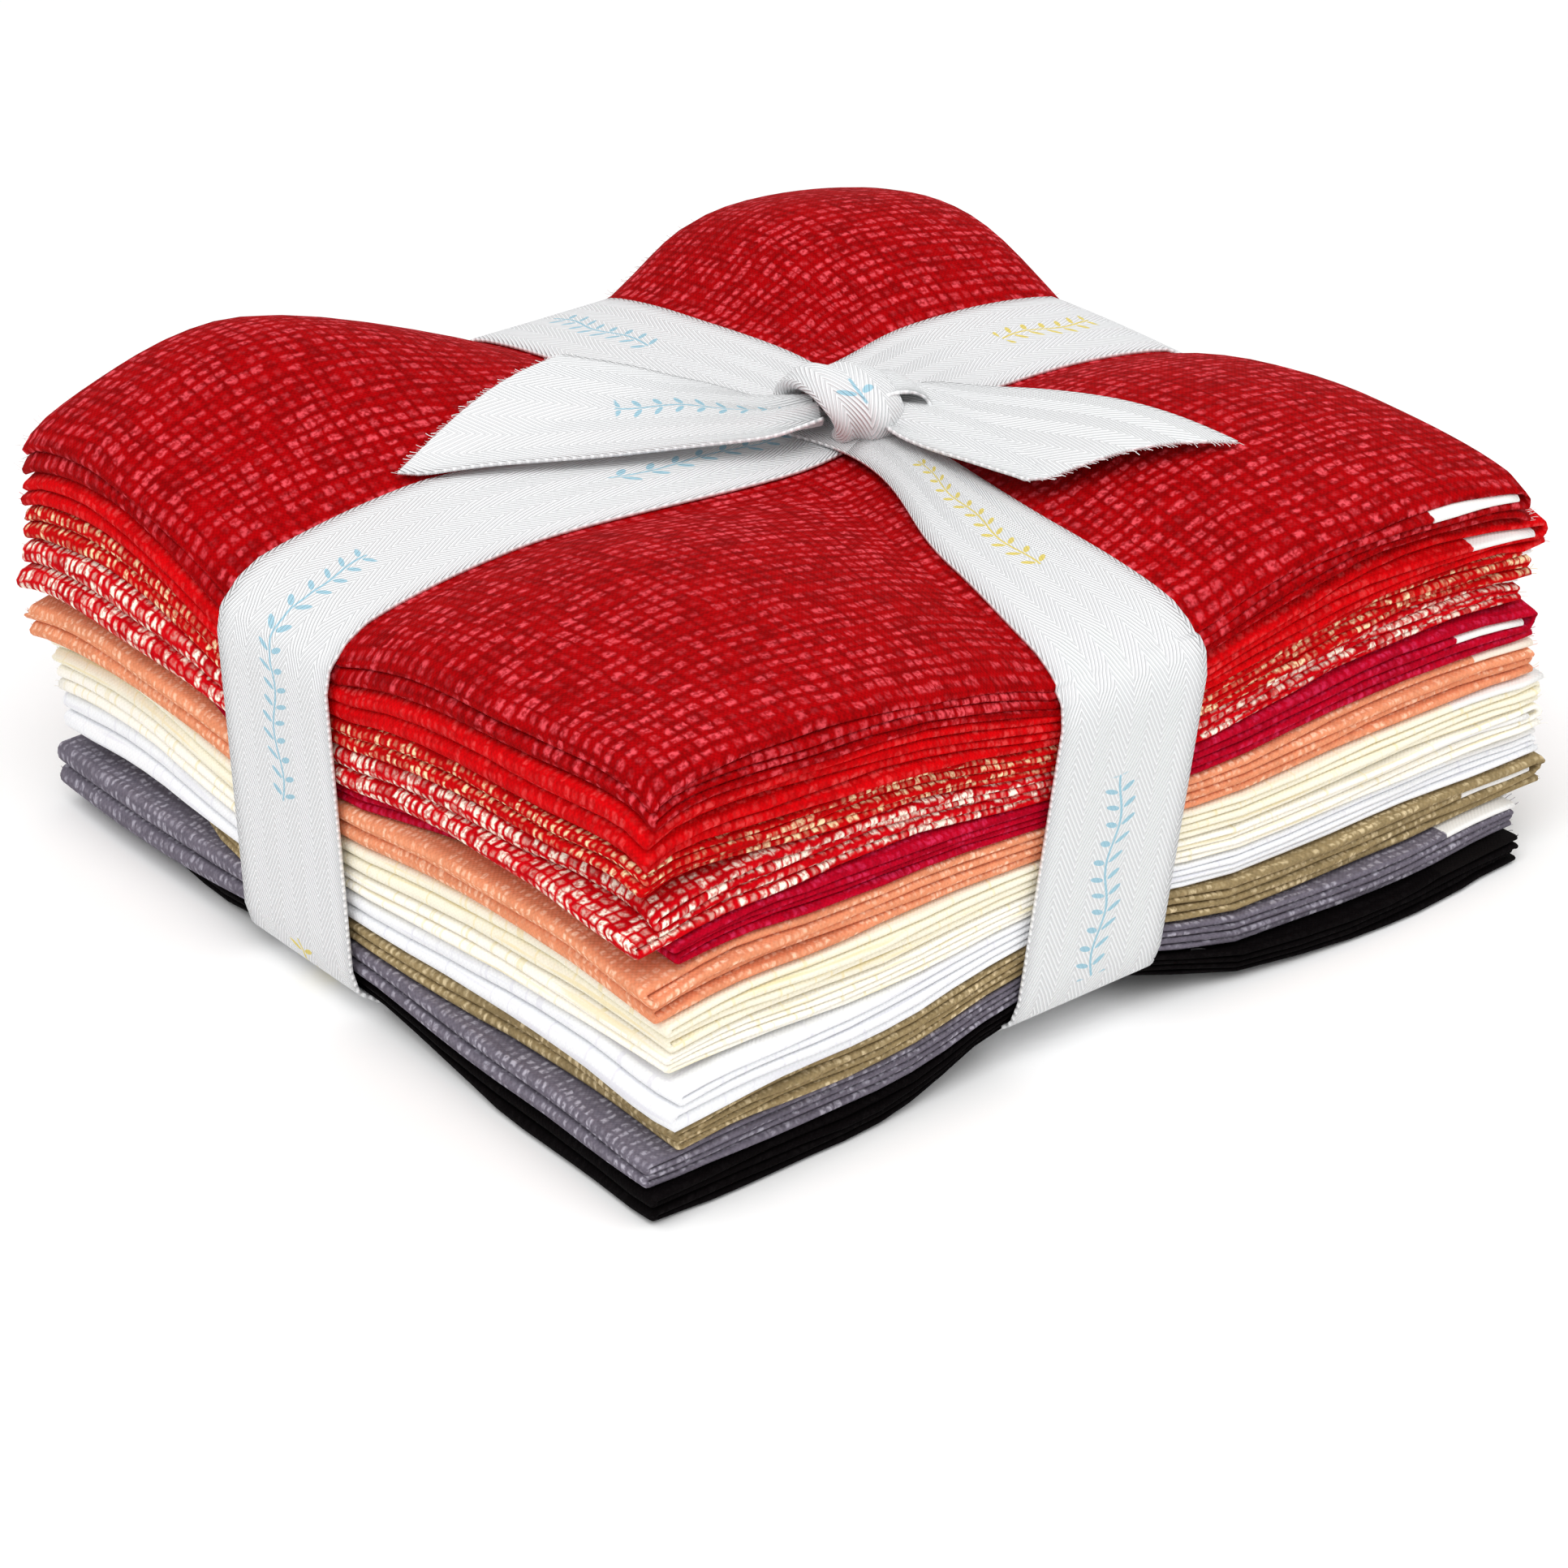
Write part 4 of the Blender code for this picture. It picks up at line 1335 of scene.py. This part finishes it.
@dataclass
class TapeStrand:
    """One strand of the tie, all the way round the stack."""

    name: str
    along_x: bool
    stack: TiedStack
    width: float = 23.0
    thickness: float = 0.5
    gap: float = 0.36
    side_gap: float = 0.9
    corner: float = 2.2
    over_crossing: float = 0.0
    bow: float = 0.0875
    knot_at: float = 5.0
    sprigs: tuple[Sprig, ...] = ()
    shares: tuple[float, ...] = (1.0, 1.0, 1.0, 1.0, 1.0, 1.0)
    cross_steps: int = 10
    run_points: int = 48
    wall_points: int = 16
    arc_steps: int = 6
    finish: TapeFinish = field(default_factory=TapeFinish)

    def loop(self) -> tuple[np.ndarray, np.ndarray]:
        """Trace the strand's middle line round the straight stack, from the knot to the knot.

        Returns:
            The distance along the stack and the height of every point, once round.
        """
        stack = self.stack
        half = stack.half_x if self.along_x else stack.half_y
        side = half + self.side_gap + self.thickness / 2
        over = stack.height + self.gap + self.thickness / 2
        under = -self.gap - self.thickness / 2
        stops = stack.columns if self.along_x else stack.rows
        raised = SmoothTable(stops[1:-1], (0.0, self.over_crossing, self.over_crossing, 0.0))
        flat = side - self.corner
        run = np.linspace(-flat, flat, self.run_points)
        high, low = over - self.corner, under + self.corner
        wall = np.linspace(high, low, self.wall_points)
        arc = np.arange(1, self.arc_steps) * math.pi / 2 / self.arc_steps
        wide, steep = self.corner * np.sin(arc), self.corner * np.cos(arc)
        pieces = [
            (run, over + raised(run)),
            (flat + wide, high + steep),
            (np.full_like(wall, side), wall),
            (flat + steep, low - wide),
            (-run, under - raised(-run)),
            (-flat - wide, low - steep),
            (np.full_like(wall, -side), wall[::-1]),
            (-flat - steep, high + wide),
        ]
        line, height = (np.concatenate([one[part] for one in pieces]) for part in (0, 1))
        first = int(np.argmin(np.abs(run - self.knot_at)))
        return np.roll(line, -first), np.roll(height, -first)

    def build(self) -> bpy.types.Object:
        """Sweep the tape along its loop, press it with the stack and dress it.

        Returns:
            The strand.
        """
        stack = self.stack
        line, height = self.loop()
        closed = np.append(np.arange(len(line)), 0)
        steps = np.hypot(np.diff(line[closed]), np.diff(height[closed]))
        length = np.concatenate([[0.0], np.cumsum(steps)])
        line, height = line[closed], height[closed]
        across = np.linspace(0.0, 1.0, self.cross_steps + 1)
        lines = stack.rows if self.along_x else stack.columns
        middle = (lines[2] + lines[3]) / 2
        stops = stack.columns if self.along_x else stack.rows
        share = np.where(height > stack.height, SmoothTable(stops, self.shares)(line), 1.0)
        sideways = middle + share[:, None] * (across[None, :] - 0.5) * self.width
        bowed = self.bow * (1 - share[:, None]) * self.width * np.sin(math.pi * across[None, :])
        along_grid = np.broadcast_to(line[:, None], sideways.shape).ravel()
        up_grid = (height[:, None] + bowed).ravel()
        sideways = sideways.ravel()
        flat = (np.stack([along_grid, sideways, up_grid], 1) if self.along_x
                else np.stack([sideways, along_grid, up_grid], 1))
        places = stack.press(flat)
        places[:, 2] = np.maximum(places[:, 2], self.thickness)
        rows, columns = len(line), len(across)
        uvs = np.stack([np.repeat(length, columns), np.tile(across * self.width, rows)], 1) * MM
        faces = grid_faces(rows, columns, flip=not self.along_x)
        strand = mesh_object(self.name + "_tape", places, faces, uvs)
        dress_tape(strand, self.name, self.finish, self.width, self.thickness, self.sprigs)
        return strand


def dress_tape(piece: bpy.types.Object, node: str, finish: TapeFinish, width: float,
               thickness: float, sprigs: tuple[Sprig, ...] = ()) -> None:
    """Give a strip of tape its thickness, material and place in the frame.

    Args:
        piece: The strip.
        node: The CAD node that it stands for.
        finish: Its finish.
        width: The tape's width in millimetres.
        thickness: Its thickness in millimetres.
        sprigs: Where it is printed.
    """
    piece.data.materials.append(finish.make(piece.name + "_twill", width, sprigs))
    give_thickness(piece, thickness)
    settle(piece, node)


@dataclass(frozen=True)
class TailStation:
    """One width of a tail where it lies: its two edges, and how far each is above the top."""

    near_x: float
    near_y: float
    near_lift: float
    far_x: float
    far_y: float
    far_lift: float


@dataclass
class TapeTail:
    """A free end of the tape, from the knot to its slanted cut."""

    name: str
    stack: TiedStack
    stations: tuple[TailStation, ...]
    width: float = 23.0
    thickness: float = 0.5
    steps: int = 40
    cross_steps: int = 20
    arch: float = 0.8
    sprigs: tuple[Sprig, ...] = ()
    pleats: float = 2.5
    pleat_depth: float = 0.9
    pleat_run: float = 2.2
    fray_spacing: float = 0.35
    fray_length: float = 1.2
    finish: TapeFinish = field(default_factory=TapeFinish)

    def build(self, frayer: Frayer) -> bpy.types.Object:
        """Lay the strip through its stations, dress it and fray its slanted cut.

        Args:
            frayer: Makes the loose threads of the cut.

        Returns:
            The tail.
        """
        stops = tuple(float(number) for number in range(len(self.stations)))
        table = [SmoothTable(stops, tuple(getattr(one, key) for one in self.stations))
                 for key in ("near_x", "near_y", "near_lift", "far_x", "far_y", "far_lift")]
        place = np.linspace(0.0, stops[-1], self.steps + 1)
        near = np.stack([table[index](place) for index in range(3)], 1)
        far = np.stack([table[index](place) for index in range(3, 6)], 1)
        share = np.linspace(0.0, 1.0, self.cross_steps + 1)
        grid = near[:, None, :] + (far - near)[:, None, :] * share[None, :, None]
        grid[:, :, 2] += self.arch * np.sin(math.pi * share)[None, :]
        gathered = (1 - ease(place / self.pleat_run))[:, None]
        wave = np.cos(2 * math.pi * self.pleats * share[None, :] + 0.5 * place[:, None])
        grid[:, :, 2] += self.pleat_depth * gathered * wave
        grid = grid.reshape(-1, 3)
        places = self.stack.on_top(grid[:, 0], grid[:, 1], grid[:, 2])
        rows, columns = len(place), len(share)
        shaped = places.reshape(rows, columns, 3)
        run = np.linalg.norm(np.diff(shaped, axis=0), axis=2)
        length = np.concatenate([np.zeros((1, columns)), np.cumsum(run, axis=0)])
        uvs = np.stack([length.ravel(), np.tile(share * self.width, rows)], 1) * MM
        short_name = self.name.replace("tape_", "")
        tail = mesh_object(short_name + "_tape", places, grid_faces(rows, columns), uvs)
        dress_tape(tail, self.name, self.finish, self.width, self.thickness, self.sprigs)
        out = shaped[-1] - shaped[-2]
        out /= np.linalg.norm(out, axis=1)[:, None]
        thread = thread_material(self.name + "_thread", self.finish.white)
        threads = frayer.fray(short_name + "_threads", [(shaped[-1], out)], thread,
                              self.fray_spacing, self.fray_length, TAIL_THREAD_SEED)
        settle(threads)
        return tail

    @staticmethod
    def area(shaped: np.ndarray) -> float:
        """Return the area of a grid of points in square millimetres."""
        along, across = np.diff(shaped, axis=0)[:, :-1], np.diff(shaped, axis=1)[:-1]
        return float(np.linalg.norm(np.cross(along, across), axis=2).sum())


@dataclass
class TapeKnot:
    """The knot: a wrap with its edges rolled under, and the small open curl beside it."""

    node: str = "tape_knot"
    turn: float = -0.35
    width: float = 23.0
    thickness: float = 0.5
    wrap_size: tuple[float, float] = (6.3, 4.5)
    wrap_reach: float = 152.0
    wrap_shift: float = 2.6
    slant: float = 0.6
    curl_radius: float = 2.9
    curl_reach: float = 6.0
    curl_turn: tuple[float, float] = (125.0, -115.0)
    curl_narrow: float = 0.62
    offset: tuple[float, float, float] = (-0.4, -1.3, -1.0)
    sprigs: tuple[Sprig, ...] = (Sprig(9.5, 4.0, Ink.BLUE),)
    finish: TapeFinish = field(default_factory=TapeFinish)

    def axes(self) -> tuple[np.ndarray, ...]:
        """Find how the knot lies.

        Returns:
            The middle of the CAD knot in millimetres, and its along, back and up directions.
        """
        low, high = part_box(self.node)
        middle = np.array((low + high) / 2) / MM + self.offset
        along = np.array([math.cos(self.turn), math.sin(self.turn), 0.0])
        back = np.array([-math.sin(self.turn), math.cos(self.turn), 0.0])
        return middle, along, back, np.array([0.0, 0.0, 1.0])

    def sweep(self, name: str, path: np.ndarray, sideways: np.ndarray, outward: np.ndarray,
              profile: np.ndarray) -> bpy.types.Object:
        """Sweep a strip's profile along a path.

        Args:
            name: The piece's name.
            path: Points of the middle line.
            sideways: The direction across the strip at every point.
            outward: The direction away from the knot at every point.
            profile: For every point of the path, rows of distance sideways and outward.

        Returns:
            The strip.
        """
        places = (path[:, None, :] + sideways[:, None, :] * profile[:, :, 0:1]
                  + outward[:, None, :] * profile[:, :, 1:2])
        rows, columns = places.shape[:2]
        across = np.linspace(0.0, self.width, columns)
        length = np.concatenate([[0.0], np.cumsum(np.linalg.norm(np.diff(path, axis=0), axis=1))])
        uvs = np.stack([np.repeat(length, columns), np.tile(across, rows)], 1) * MM
        strip = mesh_object(name, places.reshape(-1, 3), grid_faces(rows, columns), uvs)
        dress_tape(strip, self.node, self.finish, self.width, self.thickness, self.sprigs)
        strip["flat_length"] = TapeTail.area(places) / self.width
        return strip

    def build(self) -> list[bpy.types.Object]:
        wrap, curl = self.build_wrap(), self.build_curl()
        return [wrap, curl]

    def build_wrap(self) -> bpy.types.Object:
        """Make the wrap, which runs slantwise over the knot from the back to the front.

        Returns:
            The wrap, with its two edges rolled under and a few pleats along it.
        """
        middle, along, back, up = self.axes()
        depth, rise = self.wrap_size
        angle = np.radians(np.linspace(-self.wrap_reach, self.wrap_reach, 64))[:, None]
        shift = -self.wrap_shift * np.sin(angle * self.slant)
        path = middle + back * depth * np.sin(angle) + up * rise * np.cos(angle) + along * shift
        outward = back * np.sin(angle) / depth + up * np.cos(angle) / rise
        outward /= np.linalg.norm(outward, axis=1)[:, None]
        place = np.linspace(0.0, 1.0, 41)[None, :]
        stops = (0.0, 0.16, 0.22, 0.30, 0.5, 0.70, 0.78, 0.84, 1.0)
        side = SmoothTable(stops, (-2.0, -4.4, -5.2, -4.4, 0.0, 4.4, 5.2, 4.4, 2.0))(place)
        depth_in = SmoothTable(stops, (-1.9, -2.0, -1.2, -0.45, 0.35, -0.45, -1.2, -2.0, -1.9))(place)
        seen = np.exp(-((place - 0.5) / 0.2) ** 4)
        pleat = (0.34 * np.cos(2 * math.pi * 3.1 * (place - 0.42) + 1.5 * angle)
                 + 0.2 * np.cos(2 * math.pi * 5.3 * place - 1.1 * angle))
        narrow = 1 - 0.16 * np.abs(np.sin(angle * self.slant)) ** 2
        profile = np.stack([side * narrow, depth_in + pleat * seen], 2)
        return self.sweep("knot_wrap", path, np.broadcast_to(along, path.shape), outward, profile)

    def build_curl(self) -> bpy.types.Object:
        """Make the open curl on the right of the wrap.

        Returns:
            The curl, which shows its hollow to the front.
        """
        middle, along, back, up = self.axes()
        centre = middle + along * (self.wrap_size[0] - 0.2) - back * 1.2 - up * 0.3
        angle = np.radians(np.linspace(*self.curl_turn, 40))[:, None]
        radius = self.curl_radius * (1 + 0.12 * np.cos(angle * 1.5))
        path = centre + along * radius * np.cos(angle) * 1.15 + up * radius * np.sin(angle)
        outward = along * np.cos(angle) + up * np.sin(angle)
        place = np.linspace(0.0, 1.0, 25)[None, :]
        reach = self.curl_reach
        side = SmoothTable((0.0, 0.25, 0.4, 1.0), (2.6 - reach, -reach, 0.4 - reach, reach))(place)
        lift = SmoothTable((0.0, 0.25, 0.34, 1.0), (-0.9, -0.5, 0.0, 0.5))(place)
        wave = 0.25 * np.cos(7 * place + 2 * angle)
        side = np.broadcast_to(-side * self.curl_narrow, wave.shape)
        profile = np.stack([side, lift + wave], 2)
        return self.sweep("knot_curl", path, np.broadcast_to(back, path.shape), outward, profile)


@dataclass
class Studio:
    """The plain floor, the soft lights and the camera."""

    target: tuple[float, float, float] = (-22.5, -29.7, 26.0)
    light_target: tuple[float, float, float] = (0.0, 0.0, 0.03)
    azimuth: float = -39.4
    elevation: float = 27.7
    distance: float = 554.0
    lens: float = 104.35
    sensor: float = 36.0
    floor_size: float = 6.0
    floor_drop: float = 0.05
    room_light: float = 0.68

    def build(self) -> None:
        """Set up everything that isn't the bundle."""
        self.lay_floor()
        self.set_lights()
        self.place_camera()

    def lay_floor(self) -> None:
        """Lay a pale sheet of paper under the bundle."""
        half = self.floor_size / 2 / MM
        corners = np.array([(x * half, y * half, -self.floor_drop)
                            for x, y in ((-1, -1), (1, -1), (1, 1), (-1, 1))])
        floor = mesh_object("floor", corners, np.array([[0, 1, 2, 3]]))
        w = Weaver("floor_paper")
        w.gloss(0.95, 0.1)
        place = w.node("ShaderNodeTexCoord").outputs["Object"]
        w.colour(w.mix(w.noise(place, 9.0), (0.93, 0.93, 0.93), (0.95, 0.95, 0.95)))
        floor.data.materials.append(w.material)

    def set_lights(self) -> None:
        """Hang a large soft light high on the left, a weaker one on the right, and a white room."""
        self.add_light("key_light", (-0.55, -0.35, 1.15), 1.2, 12.0)
        self.add_light("fill_light", (0.9, -1.0, 0.8), 1.4, 5.0)
        world = bpy.data.worlds.new("white_room")
        world.use_nodes = True
        background = world.node_tree.nodes["Background"]
        background.inputs["Color"].default_value = (1.0, 1.0, 1.0, 1.0)
        background.inputs["Strength"].default_value = self.room_light
        bpy.context.scene.world = world
        bpy.context.scene.view_settings.view_transform = 'Standard'

    def add_light(self, name: str, place: tuple[float, float, float], size: float,
                  power: float) -> None:
        """Add one square soft light that faces the bundle.

        Args:
            name: The light's name.
            place: Where it hangs, in metres.
            size: Its side in metres.
            power: Its power in watts.
        """
        lamp = bpy.data.lights.new(name, 'AREA')
        lamp.size = size
        lamp.energy = power
        light = bpy.data.objects.new(name, lamp)
        light.location = place
        aim = Vector(self.light_target) - Vector(place)
        light.rotation_euler = aim.to_track_quat('-Z', 'Y').to_euler()
        bpy.context.scene.collection.objects.link(light)

    def place_camera(self) -> None:
        """Aim the camera at the bundle."""
        lens = bpy.data.cameras.new("camera")
        lens.lens = self.lens
        lens.sensor_width = self.sensor
        camera = bpy.data.objects.new("camera", lens)
        turn, rise = math.radians(self.azimuth), math.radians(self.elevation)
        back = Vector((math.sin(turn) * math.cos(rise), -math.cos(turn) * math.cos(rise),
                       math.sin(rise)))
        camera.location = (Vector(self.target) + back * self.distance) * MM
        camera.rotation_euler = (-back).to_track_quat('-Z', 'Y').to_euler()
        lens.clip_start, lens.clip_end = 0.01, 20.0
        bpy.context.scene.collection.objects.link(camera)
        bpy.context.scene.camera = camera


# the edge of each tail that is nearer the viewer, then the farther one
LEFT_STATIONS = (
    TailStation(3.5, -6.0, 4.4, 5.0, -1.0, 5.6), TailStation(-2.8, -5.6, 4.4, 0.8, 3.6, 6.0),
    TailStation(-12.0, 0.5, 3.6, -2.6, 11.5, 6.2), TailStation(-22.5, 7.6, 2.8, -6.0, 18.5, 6.2),
    TailStation(-33.0, 14.8, 2.4, -9.4, 25.0, 5.6), TailStation(-42.6, 21.5, 1.2, -11.5, 28.2, 5.2),
)
RIGHT_STATIONS = (
    TailStation(9.5, -9.0, 3.6, 12.0, -4.6, 5.6), TailStation(8.2, -14.2, 4.2, 19.5, -6.6, 6.4),
    TailStation(9.0, -19.8, 4.2, 26.0, -15.2, 5.0), TailStation(10.6, -26.0, 4.2, 31.4, -27.6, 3.2),
    TailStation(12.0, -31.0, 4.2, 35.4, -39.0, 2.0), TailStation(12.8, -33.2, 4.0, 37.4, -45.0, 1.2),
)

STRAND_X_SPRIGS = (Sprig(50.0, 17.0, Ink.YELLOW), Sprig(258.0, 14.0, Ink.YELLOW),
                   Sprig(306.0, 40.0, Ink.BLUE), Sprig(368.0, 24.0, Ink.BLUE))
STRAND_Y_SPRIGS = (Sprig(52.0, 22.0, Ink.BLUE), Sprig(274.0, 32.0, Ink.BLUE),
                   Sprig(340.0, 32.0, Ink.YELLOW))
LEFT_TAIL_SPRIGS = (Sprig(15.0, 22.0, Ink.BLUE),)


def main() -> None:
    """Build the bundle, piece by piece, and the studio around it."""
    logging.basicConfig(level=logging.INFO, format="%(name)s: %(message)s")
    Studio().build()
    stack = TiedStack()
    frayer = Frayer()
    for cut in fat_quarters():
        cloth = cut.build(stack, frayer)
        LOG.info("%s: %d faces", cloth.name, len(cloth.data.polygons))
    strand_x = TapeStrand("tape_strand_x", True, stack, knot_at=5.0,
                          shares=(1.0, 1.0, 0.78, 0.85, 1.0, 1.0), sprigs=STRAND_X_SPRIGS).build()
    strand_y = TapeStrand("tape_strand_y", False, stack, knot_at=-4.0, over_crossing=0.9,
                          shares=(0.96, 0.76, 0.42, 0.9, 1.0, 1.0), sprigs=STRAND_Y_SPRIGS).build()
    left = TapeTail("tape_tail_left", stack, LEFT_STATIONS, sprigs=LEFT_TAIL_SPRIGS).build(frayer)
    right = TapeTail("tape_tail_right", stack, RIGHT_STATIONS).build(frayer)
    for piece in (strand_x, strand_y, left, right, *TapeKnot().build()):
        LOG.info("%s: %d faces", piece.name, len(piece.data.polygons))


if __name__ == "__main__":
    main()
